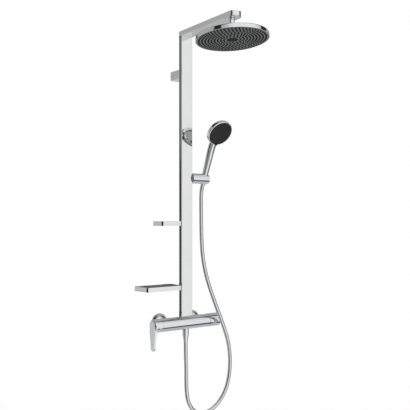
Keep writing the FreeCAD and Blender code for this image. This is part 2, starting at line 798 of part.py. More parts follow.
def column():
    """The rail on the mixer, the tube inside it and the arm on top."""
    axis = -s.reach
    wide = s.rail_width / 2
    deep = s.rail_depth / 2
    origin = (0, axis, s.rail_bottom)
    foot_screw = s.rail_bottom + s.foot_screw_rise
    corner_screw = s.rail_top - s.corner_screw_drop
    back = axis + deep
    tongue_seat = back + s.tongue_plate_thickness
    rows = ((foot_screw, back), (corner_screw, back), (s.bracket_height, tongue_seat))
    places = [(x, seat, z) for z, seat in rows for x in (-s.screw_offset, s.screw_offset)]

    def screw_ways(radius):
        return [rod("screw_way", "-Y", (x, back + s.overrun, z), radius, s.screw_length + 2 * s.overrun)
                for x, seat, z in places]

    blank = prism("rail_blank", "XY_Plane", rail_outline(), origin, s.rail_top - s.rail_bottom)
    cavity = box("rail_cavity", (-s.rail_cavity_half_width, s.rail_cavity_half_width),
                 (axis - s.rail_cavity_half_depth, axis + s.rail_cavity_half_depth),
                 (s.rail_bottom - s.overrun, s.rail_top + s.overrun))
    back_wall = deep - s.rail_cavity_half_depth
    holes = [rod("rail_hole", "-Y", (x, back + s.overrun, z), s.screw_radius + s.fit_gap,
                 back_wall + 2 * s.overrun) for x, seat, z in places]
    keep("rail_profile", cut("rail_profile", blank, cavity, *holes))
    keep("column_screws", join("column_screws", [screw(*item) for item in places]))

    flange = prism("foot_flange", "XY_Plane", rounded(-wide, wide, -deep, deep, s.rail_corner),
                   (0, axis, s.mixer_radius / 2), s.rail_bottom - s.mixer_radius / 2)
    legs = leg_pair("foot_leg", s.rail_bottom - s.overrun, s.rail_bottom + s.leg_length)
    saddle = rod("foot_saddle", "+X", (-s.rail_width, axis, 0), s.mixer_radius + s.fit_gap,
                 2 * s.rail_width)
    riser_hole = rod("foot_riser_hole", "+Z", (0, axis, 0), s.riser_radius + s.fit_gap, s.rail_top)
    foot = join("foot_casting", [flange] + legs)
    keep("rail_foot", cut("rail_foot", foot, saddle, riser_hole, *screw_ways(s.screw_radius + s.fit_gap)))

    elbow_bottom = s.rail_top + s.elbow_bottom
    tube_height = s.rail_top + s.arm_tube_rise
    riser_top = elbow_bottom + (s.arm_height - s.elbow_bottom) / 4
    collar = s.rail_bottom
    keep("riser_tube", turned("riser_tube", (
        (s.riser_bore, s.riser_bottom), (s.riser_radius, s.riser_bottom), (s.riser_radius, collar),
        (s.riser_collar_radius, collar), (s.riser_collar_radius, collar + s.riser_collar_height),
        (s.riser_radius, collar + s.riser_collar_height), (s.riser_radius, riser_top),
        (s.riser_bore, riser_top),
    ), (0, axis, 0)))
    arm(axis, wide, deep, elbow_bottom, tube_height, riser_top)

    inner = wide - s.arm_wall - s.free_gap
    plate_top = s.rail_top + s.bracket_plate_thickness
    plate = box("corner_plate", (-inner, inner), (axis - deep, axis + deep - s.arm_wall - s.free_gap),
                (s.rail_top, plate_top))
    arms = [box("corner_arm", (low, high),
                (axis - deep - s.bracket_arm_length, axis - deep + s.overrun),
                (s.rail_top + s.underplate_thickness + s.fit_gap, plate_top + s.overrun))
            for low, high in ((-inner, -s.bracket_arm_inner), (s.bracket_arm_inner, inner))]
    legs = leg_pair("corner_leg", s.rail_top - s.leg_length, s.rail_top)
    way = rod("corner_riser_hole", "+Z", (0, axis, 0), s.riser_radius + s.fit_gap, 2 * s.rail_top)
    casting = join("corner_casting", [plate] + arms + legs)
    keep("corner_bracket", cut("corner_bracket", casting, way, *screw_ways(s.screw_radius + s.fit_gap)))


def arm_outline(inset, back):
    """Plan of the arm: square at the wall end, half round at the tip, drawn in by `inset`."""
    wide = s.rail_width / 2 - inset
    centre = -(s.arm_reach - s.rail_width / 2)
    return (
        (wide, back), (-wide, back), (-wide, centre),
        (0, centre - wide, wide, "left"), (wide, centre, wide, "left"),
    )


def arm(axis, wide, deep, elbow_bottom, tube_height, riser_top):
    """Hollow arm, its underplate, the tube and the two brass blocks inside it."""
    top = s.rail_top + s.arm_height
    wall = s.arm_wall
    back = axis + deep
    outlet = s.outlet_inset - s.arm_reach
    shell = prism("arm_blank", "XY_Plane", arm_outline(0, back), (0, 0, s.rail_top), s.arm_height)
    hollow = prism("arm_hollow", "XY_Plane", arm_outline(wall, back - wall),
                   (0, 0, s.rail_top - s.overrun), s.arm_height - wall + s.overrun)
    keep("arm_shell", cut("arm_shell", shell, hollow))
    gap = wall + s.fit_gap
    front = axis - deep - s.fit_gap
    plate = prism("underplate_blank", "XY_Plane", arm_outline(gap, front), (0, 0, s.rail_top),
                  s.underplate_thickness)
    hole = rod("underplate_hole", "+Z", (0, outlet, s.rail_top - s.overrun),
               s.stud_thread_radius + s.fit_gap, s.arm_height)
    keep("arm_underplate", cut("arm_underplate", plate, hole))

    half = s.elbow_half_width
    roof = top - wall - s.fit_gap
    tube_start = -s.elbow_front + s.arm_tube_insert
    block = box("elbow_block", (-half, half), (-s.elbow_front, back - wall - s.free_gap),
                (elbow_bottom, roof))
    riser_hole = rod("elbow_riser_hole", "+Z", (0, axis, elbow_bottom - s.overrun),
                     s.riser_radius + s.fit_gap, riser_top - elbow_bottom + s.overrun)
    riser_way = rod("elbow_way_up", "+Z", (0, axis, elbow_bottom), s.arm_tube_bore,
                    tube_height - elbow_bottom)
    tube_hole = rod("elbow_tube_hole", "+Y", (0, -s.elbow_front - s.overrun, tube_height),
                    s.arm_tube_radius + s.fit_gap, s.arm_tube_insert + s.overrun)
    tube_way = rod("elbow_way_out", "+Y", (0, tube_start, tube_height), s.arm_tube_bore,
                   axis - tube_start)
    keep("corner_elbow", cut("corner_elbow", block, riser_hole, riser_way, tube_hole, tube_way))

    outlet_half = s.outlet_block_half
    tube_end = outlet + outlet_half - s.outlet_block_half / 3
    keep("arm_tube", tube("arm_tube", s.arm_tube_bore, s.arm_tube_radius, -tube_start, -tube_end,
                          (0, 0, tube_height), "-Y"))
    floor = s.rail_top + s.underplate_thickness + s.fit_gap
    block = box("outlet_blank", (-outlet_half, outlet_half), (outlet - outlet_half, outlet + outlet_half),
                (floor, roof))
    port = rod("outlet_thread", "+Z", (0, outlet, floor - s.overrun), s.stud_thread_radius + s.fit_gap,
               s.rail_top + s.stud_thread_length - floor + s.overrun + s.fit_gap)
    tube_hole = rod("outlet_tube_hole", "-Y", (0, outlet + outlet_half + s.overrun, tube_height),
                    s.arm_tube_radius + s.fit_gap, s.outlet_block_half / 3 + s.overrun)
    tube_way = rod("outlet_way", "-Y", (0, tube_end, tube_height), s.arm_tube_bore, tube_end - outlet)
    keep("outlet_block", cut("outlet_block", block, port, tube_hole, tube_way))


def ball_socket_points(radius, low, high):
    """Right-hand edge of a spherical bore between two heights, from the top down."""
    return (
        (on_sphere(radius, high), high),
        (on_sphere(radius, low), low, radius, "right"),
    )


def overhead():
    """Stud with its ball, the two rings that seal it, the nut and the round spray head."""
    centre = (0, s.outlet_inset - s.arm_reach, s.rail_top - s.ball_drop)
    tilted = (("Y", s.head_roll), ("X", s.head_tilt))
    flange_top = s.ball_drop - s.fit_gap
    flange_bottom = flange_top - s.stud_flange_height
    ball_top = on_sphere(s.ball_radius, s.stud_neck_radius)
    keep("outlet_stud", turned("outlet_stud", (
        (s.ball_bore, -on_sphere(s.ball_radius, s.ball_bore)),
        (s.stud_neck_radius, ball_top, s.ball_radius, "left"),
        (s.stud_neck_radius, s.stud_shoulder - (s.stud_shaft_radius - s.stud_neck_radius) / 2),
        (s.stud_shaft_radius, s.stud_shoulder), (s.stud_shaft_radius, flange_bottom),
        (s.stud_flange_radius, flange_bottom), (s.stud_flange_radius, flange_top),
        (s.stud_thread_radius, flange_top), (s.stud_thread_radius, s.ball_drop + s.stud_thread_length),
        (s.ball_bore, s.ball_drop + s.stud_thread_length),
    ), centre))

    inner = s.ball_radius + s.bore_clearance
    outer = s.ring_outer_radius
    for name, low, high in (("ball_ring", -s.ring_bottom, s.ring_top),
                            ("ball_seal", -s.seal_bottom, -s.seal_top)):
        points = ball_socket_points(inner, low, high)
        keep(name, turned(name, (
            (on_sphere(outer, low), low), (on_sphere(outer, high), high, outer, "left"),
        ) + points, centre, tilted))
    socket = s.socket_radius
    hub = s.hub_radius + s.fit_gap
    hub_top = -s.hub_top
    keep("ball_nut", turned("ball_nut", (
        (socket, hub_top), (hub, hub_top), (hub, -s.ball_nut_bottom),
        (s.ball_nut_radius, -s.ball_nut_bottom), (s.ball_nut_radius, s.ball_nut_top - s.overrun),
        (s.ball_nut_radius - s.overrun, s.ball_nut_top),
        (on_sphere(socket, s.ball_nut_top), s.ball_nut_top), (socket, 0, socket, "right"),
    ), centre, tilted))
    spray_head(centre, tilted)


def spray_head(centre, tilted):
    """Shell with its hub, spray plate, nozzle mat, seal and flow washer."""
    face = -s.head_face_drop
    wall = s.head_wall
    rim = s.head_radius
    edge = s.head_edge_radius
    crown = -s.head_crown_drop
    pocket = s.hub_radius - 2 * wall
    pocket_floor = -s.hub_top - s.hub_pocket_depth
    shoulder = face + s.head_rim + edge
    keep("head_shell", turned("head_shell", (
        (rim - wall, face), (rim, face), (rim, face + s.head_rim),
        (rim - edge, shoulder, edge, "left"), (s.head_crown_radius, crown), (s.hub_radius, crown),
        (s.hub_radius, -s.hub_top), (pocket, -s.hub_top), (pocket, pocket_floor),
        (s.ball_bore + wall, pocket_floor), (s.ball_bore + wall, crown - wall - wall),
        (s.head_crown_radius, crown - wall), (rim - edge, shoulder - wall),
        (rim - wall, face + s.head_rim),
    ), centre, tilted))
    keep("flow_washer", tube("flow_washer", s.ball_bore, pocket - s.fit_gap, pocket_floor,
                             pocket_floor + s.hub_pocket_depth - s.fit_gap, centre, tilted))
    plate_radius = rim - wall - s.free_gap
    plate_bottom = face + s.spray_plate_recess
    plate_top = plate_bottom + s.spray_plate_thickness
    plate = document.addObject("PartDesign::Body", "head_spray_plate")
    disc(plate, plate_radius, plate_bottom, plate_top)
    hole = s.nozzle_base_radius + s.fit_gap
    for ring, count in enumerate(NOZZLES_PER_RING, 1):
        ring_feature(plate, "PartDesign::Pocket", ring * s.nozzle_ring_step, hole, hole, plate_bottom,
                     s.spray_plate_thickness, count)
    place(plate, centre, tilted)
    keep("head_spray_plate", plate)
    mat = document.addObject("PartDesign::Body", "head_nozzles")
    mat_radius = (len(NOZZLES_PER_RING) + 1 / 4) * s.nozzle_ring_step
    disc(mat, mat_radius, plate_top, plate_top + s.nozzle_mat_thickness)
    for ring, count in enumerate(NOZZLES_PER_RING, 1):
        ring_feature(mat, "PartDesign::Pad", ring * s.nozzle_ring_step, s.nozzle_base_radius,
                     s.nozzle_tip_radius, plate_top, s.spray_plate_thickness + s.nozzle_stand, count)
    place(mat, centre, tilted)
    keep("head_nozzles", mat)
    keep("head_seal", tube("head_seal", plate_radius - s.head_seal_width, plate_radius, plate_top,
                           plate_top + s.nozzle_mat_thickness, centre, tilted))


def disc(body, radius, bottom, top):
    """Turned disc as a body's first feature."""
    sketch = sketch_on(body, "XZ_Plane")
    outline(sketch, ((radius, bottom), (radius, top), (0, top), (0, bottom)))
    revolution = body.newObject("PartDesign::Revolution", body.Name + "_disc")
    revolution.Profile = sketch
    revolution.ReferenceAxis = (sketch, ["V_Axis"])
    revolution.Angle = 360
    sketch.Visibility = False


def ring_feature(body, kind, ring_radius, base_radius, tip_radius, height, depth, count):
    """Six-sided pads, tapered to their tips, or six-sided holes, repeated round a ring."""
    sketch = sketch_on(body, "XY_Plane")
    bind(sketch, "AttachmentOffset.Base.z", height)
    corners = [(ring_radius + base_radius * cosine(60 * turn), base_radius * sine(60 * turn))
               for turn in range(6)]
    outline(sketch, corners)
    feature = body.newObject(kind, body.Name + "_one")
    feature.Profile = sketch
    bind(feature, "Length", depth)
    feature.Reversed = True
    if kind == "PartDesign::Pad":
        taper = math.degrees(math.atan2(base_radius.number - tip_radius.number, depth.number))
        feature.TaperAngle = -taper
    sketch.Visibility = False
    pattern = body.newObject("PartDesign::PolarPattern", body.Name + "_ring")
    pattern.Originals = [feature]
    pattern.Angle = 360
    pattern.Occurrences = count
    axis = next(item for item in body.Origin.OriginFeatures if item.Role == "Z_Axis")
    pattern.Axis = (axis, [""])
    body.Tip = pattern


def bracket():
    """Upper fixing of the rail: base on the wall, tongue on the rail and the cover over both."""
    height = s.bracket_height
    wide = s.bracket_half_width
    tall = s.bracket_half_height
    wall = s.bracket_wall
    back = -s.reach + s.rail_depth / 2
    inner_wide = wide - wall - s.fit_gap
    inner_tall = tall - wall - s.fit_gap

    plate = box("base_plate", (-inner_wide, inner_wide), (-s.base_thickness, 0),
                (height - inner_tall, height + inner_tall))
    post = box("base_post", (-s.post_half, s.post_half), (-s.post_length, 0),
               (height - s.post_half, height + s.post_half))
    socket = box("base_socket", (-s.socket_half, s.socket_half),
                 (-s.post_length - s.overrun, -s.base_thickness),
                 (height - s.socket_half, height + s.socket_half))
    holes = [rod("wall_hole", "-Y", (x, s.overrun, height), s.base_hole_radius,
                 s.base_thickness + 2 * s.overrun) for x in (-s.base_hole_offset, s.base_hole_offset)]
    grub_start = height - s.post_half
    grub_y = -s.bracket_grub_place
    thread = rod("grub_thread", "+Z", (0, grub_y, grub_start - s.overrun), s.bracket_grub_radius + s.fit_gap,
                 s.post_half)
    keep("bracket_base", cut("bracket_base", join("base_casting", (plate, post)), socket, thread, *holes))
    tongue_plate = box("tongue_plate", (-s.tongue_plate_half_width, s.tongue_plate_half_width),
                       (back, back + s.tongue_plate_thickness),
                       (height - s.tongue_plate_half_height, height + s.tongue_plate_half_height))
    tongue_post = box("tongue_post", (-s.tongue_half, s.tongue_half),
                      (back + s.overrun, back + s.tongue_length),
                      (height - s.tongue_half, height + s.tongue_half))
    ways = [rod("tongue_hole", "+Y", (x, back - s.overrun, height), s.screw_radius + s.fit_gap,
                s.tongue_plate_thickness + 2 * s.overrun) for x in (-s.screw_offset, s.screw_offset)]
    tongue = join("tongue_casting", (tongue_plate, tongue_post))
    keep("bracket_tongue", cut("bracket_tongue", tongue, *ways))
    front = back + s.free_gap
    sleeve = box("cover_blank", (-wide, wide), (front, -s.free_gap), (height - tall, height + tall))
    hollow = box("cover_hollow", (-wide + wall, wide - wall), (front - s.overrun, s.overrun),
                 (height - tall + wall, height + tall - wall))
    access = rod("cover_access", "+Z", (0, grub_y, height - tall - s.overrun),
                 s.bracket_grub_radius + s.free_gap, wall + 2 * s.overrun)
    keep("bracket_cover", cut("bracket_cover", sleeve, hollow, access))
    keep("bracket_grub_screw", rod("bracket_grub_screw", "+Z", (0, grub_y, grub_start),
                                   s.bracket_grub_radius, s.post_half - s.tongue_half))


def holder():
    """Shoe in the rail's right slot, the pivot on it and the barrel that holds the handset."""
    axis = -s.reach
    height = s.holder_height
    side = s.rail_width / 2
    lip = side - s.slot_lip
    play = s.shoe_clearance
    floor = lip - s.slot_cavity_depth
    low = height - s.shoe_half_length
    high = height + s.shoe_half_length
    head_half = s.slot_cavity / 2 - play
    neck_half = s.slot_mouth / 2 - play
    flange = side + s.free_gap
    head = box("shoe_head", (floor + play, lip - play), (axis - head_half, axis + head_half), (low, high))
    neck = box("shoe_neck", (lip - s.overrun, flange), (axis - neck_half, axis + neck_half), (low, high))
    blind = floor + play + s.overrun
    bore = rod("shoe_bore", "+X", (blind, axis, height), s.pivot_stud_radius + s.fit_gap,
               flange + s.overrun - blind)
    keep("slider_shoe", cut("slider_shoe", join("shoe", (head, neck)), bore))
    flange_end = flange + s.pivot_flange_thickness
    stud_start = blind + s.fit_gap
    keep("holder_pivot", turned("holder_pivot", (
        (0, stud_start), (s.pivot_stud_radius, stud_start), (s.pivot_stud_radius, flange),
        (s.pivot_flange_radius, flange), (s.pivot_flange_radius, flange_end),
        (s.pivot_radius, flange_end), (s.pivot_radius, side + s.free_gap + s.pivot_length),
        (0, side + s.free_gap + s.pivot_length),
    ), (0, axis, height), "+X"))
    seat_x = side + s.seat_place
    end = side + s.barrel_length
    recess = s.pivot_flange_radius + s.free_gap
    recess_end = flange_end + s.free_gap
    bore_radius = s.pivot_radius + s.bore_clearance
    bore_end = side + s.free_gap + s.pivot_length + s.free_gap
    barrel = turned("barrel_blank", (
        (0, bore_end), (bore_radius, bore_end), (bore_radius, recess_end), (recess, recess_end),
        (recess, flange + s.fit_gap), (s.barrel_radius, flange + s.fit_gap), (s.barrel_radius, end),
        (0, end),
    ), (0, axis, height), "+X")
    along = (("X", s.handset_lean),)
    centre = (seat_x, axis, height)
    reach = s.barrel_radius + s.overrun
    top = s.seat_top_radius + s.overrun * s.seat_taper_share
    bottom = s.seat_top_radius - (2 * s.barrel_radius + s.overrun) * s.seat_taper_share
    cone = turned("holder_seat", ((0, -reach), (bottom, -reach), (top, reach), (0, reach)), centre, along)
    fork = document.addObject("Part::Box", "fork_way")
    bind(fork, "Length", s.barrel_length)
    bind(fork, "Width", s.fork_width)
    bind(fork, "Height", 2 * reach)
    half = s.fork_width / 2
    lean = s.handset_lean
    place(fork, (seat_x, axis - half * cosine(lean) + reach * sine(lean),
                 height - half * sine(lean) - reach * cosine(lean)), along)
    keep("holder_barrel", cut("holder_barrel", barrel, cone, fork))
    handset(centre, along)


def handset(centre, along):
    """Body with its handle, inlet, hose nut, spray disc and the selector ring round it."""
    lean = s.handset_lean
    up = s.handset_face_up
    out = s.handset_face_out
    face = (centre[0], centre[1] - out * cosine(lean) - up * sine(lean),
            centre[2] - out * sine(lean) + up * cosine(lean))
    facing = (("X", 90 + s.handset_face_dip),)
    rim = s.handset_radius
    sag = s.handset_depth - s.handset_rim
    back_radius = (rim * rim + sag * sag) / (2 * sag)
    round_centre = back_radius - s.handset_depth
    edge = s.handset_edge
    opening = s.handset_opening_radius
    dome = turned("handset_dome", (
        (0, -s.handset_depth), (rim, -s.handset_rim, back_radius, "left"), (rim, -edge),
        (rim - edge, 0), (0, 0),
    ), face, facing)
    seat = opening - s.handset_disc_seat
    inner = back_radius - s.handset_wall
    cavity = turned("handset_cavity", (
        (0, round_centre - inner), (seat, round_centre - on_sphere(inner, seat), inner, "left"),
        (seat, -s.handset_disc_depth), (opening, -s.handset_disc_depth), (opening, s.overrun),
        (0, s.overrun),
    ), face, facing)
    handle = document.addObject("PartDesign::Body", "handset_handle")
    neck = up - rim
    sections = (
        (s.handle_bottom, 0, s.handle_bottom_radius),
        (s.handle_bottom + (neck - s.handle_bottom) / 3, 0,
         (s.handle_bottom_radius + s.handle_grip_radius) / 2),
        (s.handle_bottom + (neck - s.handle_bottom) * 3 / 4, 0, s.handle_grip_radius),
        (neck + rim / 8, out / 8, s.handle_top_radius),
        (neck + rim / 2, out / 3, s.handle_top_radius),
        (neck + rim * 3 / 4, out / 2, s.handle_top_radius * 3 / 4),
    )
    sketches = []
    for height, forward, radius in sections:
        sketch = sketch_on(handle, "XY_Plane")
        bind(sketch, "AttachmentOffset.Base.z", height)
        middle = FreeCAD.Vector(0, -as_size(forward).number, 0)
        sketch.addGeometry(Part.Circle(middle, FreeCAD.Vector(0, 0, 1), radius.number), False)
        fix_point(sketch, 0, 3, 0, -as_size(forward))
        number = sketch.addConstraint(Sketcher.Constraint("Radius", 0, radius.number))
        bind(sketch, f"Constraints[{number}]", radius)
        sketches.append(sketch)
    loft = handle.newObject("PartDesign::AdditiveLoft", "handle_loft")
    loft.Profile = sketches[0]
    loft.Sections = sketches[1:]
    loft.Ruled = True
    place(handle, centre, along)

    sin_lean, cos_lean = sine(lean), cosine(lean)

    def on_axis(height):
        return (centre[0], centre[1] - height * sin_lean, centre[2] + height * cos_lean)

    way_top = neck + rim / 3
    way = rod("handle_way", along, on_axis(s.handle_bottom), s.handle_bore_radius, way_top - s.handle_bottom)
    socket = rod("handle_socket", along, on_axis(s.handle_bottom - s.overrun), s.inlet_radius + s.fit_gap,
                 s.inlet_length - s.inlet_engagement + s.overrun + s.fit_gap)
    cross = rod("handle_cross_way", (("X", 90 + lean),), on_axis(way_top - s.handle_bore_radius),
                s.handle_bore_radius, out * 2 / 3)
    shell = join("handset_casting", (dome, handle))
    for tool in (cavity, way, socket, cross):
        shell = cut("handset_cut", shell, tool)
        shell.Refine = False
    keep("handset_body", shell)

    start = s.handle_bottom - s.inlet_engagement
    keep("handset_inlet", tube("handset_inlet", s.inlet_bore, s.inlet_radius, start, start + s.inlet_length,
                               centre, along))
    drop = s.hose_nut_drop
    nut_top = s.seat_top_radius - s.free_gap - (s.barrel_radius - s.handle_bottom) * s.seat_taper_share
    nut_bottom = nut_top - (s.handle_bottom + drop) * s.seat_taper_share
    bore = s.inlet_radius + s.fit_gap
    keep("hose_nut_handset", turned("hose_nut_handset", (
        (s.inlet_bore, -drop), (nut_bottom, -drop), (nut_top, s.handle_bottom), (bore, s.handle_bottom),
        (bore, start), (s.inlet_bore, start),
    ), centre, along))

    ring_outer = opening - s.free_gap
    ring_inner = ring_outer - s.selector_width
    floor = s.fit_gap - s.handset_disc_depth
    ring = tube("selector_ring", ring_inner, ring_outer, floor, -s.selector_recess, face, facing)
    tab_half = s.selector_tab_half
    root_in = -ring_inner - s.selector_width / 2
    root_out = s.fit_gap - ring_outer
    root_floor = floor + s.overrun
    tab_end = -opening - s.selector_tab_reach
    tab_top = s.free_gap + s.selector_tab_height
    tab = prism("selector_tab", "YZ_Plane", (
        (root_in, root_floor), (root_in, tab_top), (tab_end + tab_half, tab_top),
        (tab_end, tab_top - tab_half, tab_half, "left"), (tab_end, s.free_gap), (root_out, s.free_gap),
        (root_out, root_floor),
    ), (face[0] - tab_half, face[1], face[2]), 2 * tab_half, facing)
    keep("spray_selector", join("spray_selector", (ring, tab)))
    spray = document.addObject("PartDesign::Body", "handset_spray_disc")
    disc_radius = ring_inner - s.free_gap
    disc(spray, disc_radius, floor, -s.selector_recess)
    for ring_number, count in enumerate(JETS_PER_RING, 1):
        jets(spray, ring_number * s.jet_ring_step, count)
    place(spray, face, facing)
    keep("handset_spray_disc", spray)


def jets(body, ring_radius, count):
    """Ring of small six-sided jets on the spray disc."""
    sketch = sketch_on(body, "XY_Plane")
    bind(sketch, "AttachmentOffset.Base.z", -s.selector_recess - s.selector_recess)
    outline(sketch, [(ring_radius + s.jet_radius * cosine(60 * turn), s.jet_radius * sine(60 * turn))
                     for turn in range(6)])
    pad = body.newObject("PartDesign::Pad", body.Name + "_jet")
    pad.Profile = sketch
    bind(pad, "Length", s.jet_height + s.selector_recess)
    sketch.Visibility = False
    pattern = body.newObject("PartDesign::PolarPattern", body.Name + "_jets")
    pattern.Originals = [pad]
    axis = next(item for item in body.Origin.OriginFeatures if item.Role == "Z_Axis")
    pattern.Axis = (axis, [""])
    pattern.Angle = 360
    pattern.Occurrences = count
    body.Tip = pattern


def hose_path():
    """The hose's centre line: straight runs joined by tangent arcs, and the arcs' radii."""
    lean = math.radians(s.handset_lean.number)
    down = FreeCAD.Vector(0, math.sin(lean), -math.cos(lean))
    seat_x = s.rail_width.number / 2 + s.seat_place.number
    seat = FreeCAD.Vector(seat_x, -s.reach.number, s.holder_height.number)
    start = seat + down * s.hose_nut_drop.number
    end = FreeCAD.Vector(0, -s.reach.number, -s.mixer_nut_bottom.number)
    points = [start, start + down * HOSE_EXIT_RUN]
    points += [FreeCAD.Vector(*point) for point in HOSE_ROUTE]
    points += [end - FreeCAD.Vector(0, 0, HOSE_INLET_RUN), end]
    edges = []
    radii = []
    last = points[0]
    for before, corner, after in zip(points, points[1:], points[2:]):
        inward = (before - corner).normalize()
        outward = (after - corner).normalize()
        half_turn = (math.pi - inward.getAngle(outward)) / 2
        setback = ARC_SHARE * min((before - corner).Length, (after - corner).Length)
        radius = setback / math.tan(half_turn)
        middle_out = radius / math.cos(half_turn) - radius
        towards = (inward + outward).normalize()
        first = corner + inward * setback
        final = corner + outward * setback
        edges.append(Part.LineSegment(last, first).toShape())
        edges.append(Part.Arc(first, corner + towards * middle_out, final).toShape())
        radii.append(radius)
        last = final
    edges.append(Part.LineSegment(last, points[-1]).toShape())
    return Part.Wire(edges), radii


def hose():
    """The hose and its nut at the mixer."""
    path, radii = hose_path()
    start = path.Edges[0].valueAt(path.Edges[0].FirstParameter)
    direction = path.Edges[0].tangentAt(path.Edges[0].FirstParameter)
    radius = s.hose_radius.number
    section = Part.Wire([Part.Circle(start, direction, radius).toShape()])
    piece = document.addObject("Part::Feature", "shower_hose")
    piece.Shape = path.makePipeShell([section], True, False)
    keep("shower_hose", piece)
    print("hose length", round(path.Length, 1), "radii", [round(value) for value in radii])
    print("hose volume over section times length",
          round(piece.Shape.Volume / (math.pi * radius * radius * path.Length), 5))

    top = s.mixer_radius + s.outlet_boss_drop + s.fit_gap + s.fit_gap
    bottom = s.mixer_nut_bottom
    grip_end = top + s.mixer_nut_grip
    bore = s.nipple_radius + s.fit_gap
    keep("hose_nut_mixer", turned("hose_nut_mixer", (
        (bore, top), (s.mixer_nut_top_radius, top), (s.mixer_nut_top_radius, grip_end),
        (s.hose_radius + s.free_gap, bottom), (s.nipple_bore, bottom),
        (s.nipple_bore, s.nipple_bottom + s.fit_gap), (bore, s.nipple_bottom + s.fit_gap),
    ), (0, -s.reach, 0), "-Z"))


def shelf(name, bottom, height, end, slant, back):
    """Tray whose insert lies on a ledge just below the rim, held to the rail by a block and a screw."""
    axis = -s.reach
    side = -s.rail_width / 2
    right = side - s.shelf_gap
    wall = s.shelf_wall
    thick = wall + s.insert_ledge
    front = -s.shelf_front
    ledge = bottom + height - s.insert_drop - s.insert_thickness

    def inside_by(inset):
        """Outline of the shelf, drawn in by so much all round."""
        return rounded(-end + inset, right - inset, front + inset, -back - inset,
                       s.shelf_corner - inset / 2, slant)

    blank = prism(name + "_blank", "XY_Plane", inside_by(0), (0, 0, bottom), height)
    seat = prism(name + "_seat", "XY_Plane", inside_by(wall), (0, 0, ledge), height)
    hollow = prism(name + "_hollow", "XY_Plane", inside_by(thick), (0, 0, bottom + wall), height)
    middle = (bottom + wall + ledge) / 2
    hole = rod(name + "_hole", "-X", (side, axis, middle), s.shelf_screw_radius + s.fit_gap,
               s.shelf_gap + thick + s.overrun)
    keep(name + "_tray", cut(name + "_tray", blank, seat, hollow, hole))
    keep(name + "_insert", prism(name + "_insert", "XY_Plane", inside_by(wall + s.free_gap),
                                 (0, 0, ledge), s.insert_thickness))
    play = s.shoe_clearance
    lip = side + s.slot_lip
    floor = lip + s.slot_cavity_depth
    head_half = s.slot_cavity / 2 - play
    neck_half = s.slot_mouth / 2 - play
    pad_half = s.rail_depth / 2 - s.overrun
    low = bottom + s.overrun
    high = bottom + height - s.overrun
    head = box("block_head", (lip + play, floor - play), (axis - head_half, axis + head_half), (low, high))
    neck = box("block_neck", (side - s.free_gap, lip + s.overrun), (axis - neck_half, axis + neck_half),
               (low, high))
    pad = box("block_pad", (right, side - s.free_gap), (axis - pad_half, axis + pad_half), (low, high))
    way = rod("block_way", "-X", (floor, axis, middle), s.shelf_screw_radius + s.fit_gap,
              floor - right + s.overrun)
    keep(name + "_block", cut(name + "_block", join("block", (head, neck, pad)), way))
    inside = right - thick
    screw_head = rod("shelf_screw_head", "-X", (inside, axis, middle), s.shelf_screw_head,
                     s.shelf_screw_head / 2)
    shank = rod("shelf_screw_shank", "+X", (inside - s.overrun, axis, middle), s.shelf_screw_radius,
                floor - play - inside)
    keep(name + "_screw", join(name + "_screw", (screw_head, shank)))


def check_and_write():
    """Stops on any failed object or shape, and writes each node to its own file."""
    faults = []
    for item in document.Objects:
        if "Invalid" in item.State or "Error" in item.State:
            faults.append(f"{item.Name}: {item.State}")
    for name, piece in nodes.items():
        shape = piece.Shape
        if shape.isNull() or not shape.isValid() or not shape.Solids:
            faults.append(f"{name}: no valid solid")
    if faults:
        raise SystemExit("\n".join(faults))
    os.makedirs("parts", exist_ok=True)
    for name, piece in nodes.items():
        piece.Shape.exportStep(os.path.join("parts", name + ".step"))
        print(name, len(piece.Shape.Solids), "solids", round(piece.Shape.Volume / 1000, 1), "cm3")
    print(len(nodes), "nodes")


mixer()
column()
overhead()
bracket()
holder()
hose()
shelf("upper_shelf", s.upper_shelf_bottom, s.upper_shelf_height, s.upper_shelf_end, s.upper_shelf_slant,
      s.upper_shelf_back)
shelf("lower_shelf", s.lower_shelf_bottom, s.lower_shelf_height, s.lower_shelf_end, s.lower_shelf_slant,
      s.lower_shelf_back)
document.recompute()
check_and_write()
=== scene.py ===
"""Looks of a wall shower system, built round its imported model.

Metres, in the model's own frame: +X right along the wall, +Y into the wall and +Z up.
"""
import bmesh
import bpy
import json
import logging
import math
from dataclasses import dataclass, field
from enum import Enum
from mathutils import Matrix, Vector


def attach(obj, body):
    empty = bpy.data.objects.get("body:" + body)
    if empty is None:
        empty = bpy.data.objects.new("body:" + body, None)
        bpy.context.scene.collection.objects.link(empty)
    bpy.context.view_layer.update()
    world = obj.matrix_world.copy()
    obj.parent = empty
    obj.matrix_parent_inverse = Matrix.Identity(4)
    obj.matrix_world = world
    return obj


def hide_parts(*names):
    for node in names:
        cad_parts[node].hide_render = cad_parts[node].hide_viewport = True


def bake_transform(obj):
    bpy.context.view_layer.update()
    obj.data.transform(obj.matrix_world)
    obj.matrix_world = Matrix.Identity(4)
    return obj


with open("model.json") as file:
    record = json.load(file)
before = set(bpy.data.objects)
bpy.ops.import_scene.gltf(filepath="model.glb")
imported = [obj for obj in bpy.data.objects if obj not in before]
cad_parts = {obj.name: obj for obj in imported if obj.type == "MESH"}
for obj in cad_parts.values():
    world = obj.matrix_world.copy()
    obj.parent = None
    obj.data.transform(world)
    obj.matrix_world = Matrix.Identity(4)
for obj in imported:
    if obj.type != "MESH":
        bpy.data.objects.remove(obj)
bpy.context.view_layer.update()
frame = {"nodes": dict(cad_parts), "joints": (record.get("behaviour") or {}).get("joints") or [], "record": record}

FULL_TURN = 2 * math.pi
TOUCHING = 1e-6  # Points nearer to each other than this are one.
log = logging.getLogger("shower")

Point = tuple[float, float, float]
Colour = tuple[float, float, float]
Span = tuple[float, float]


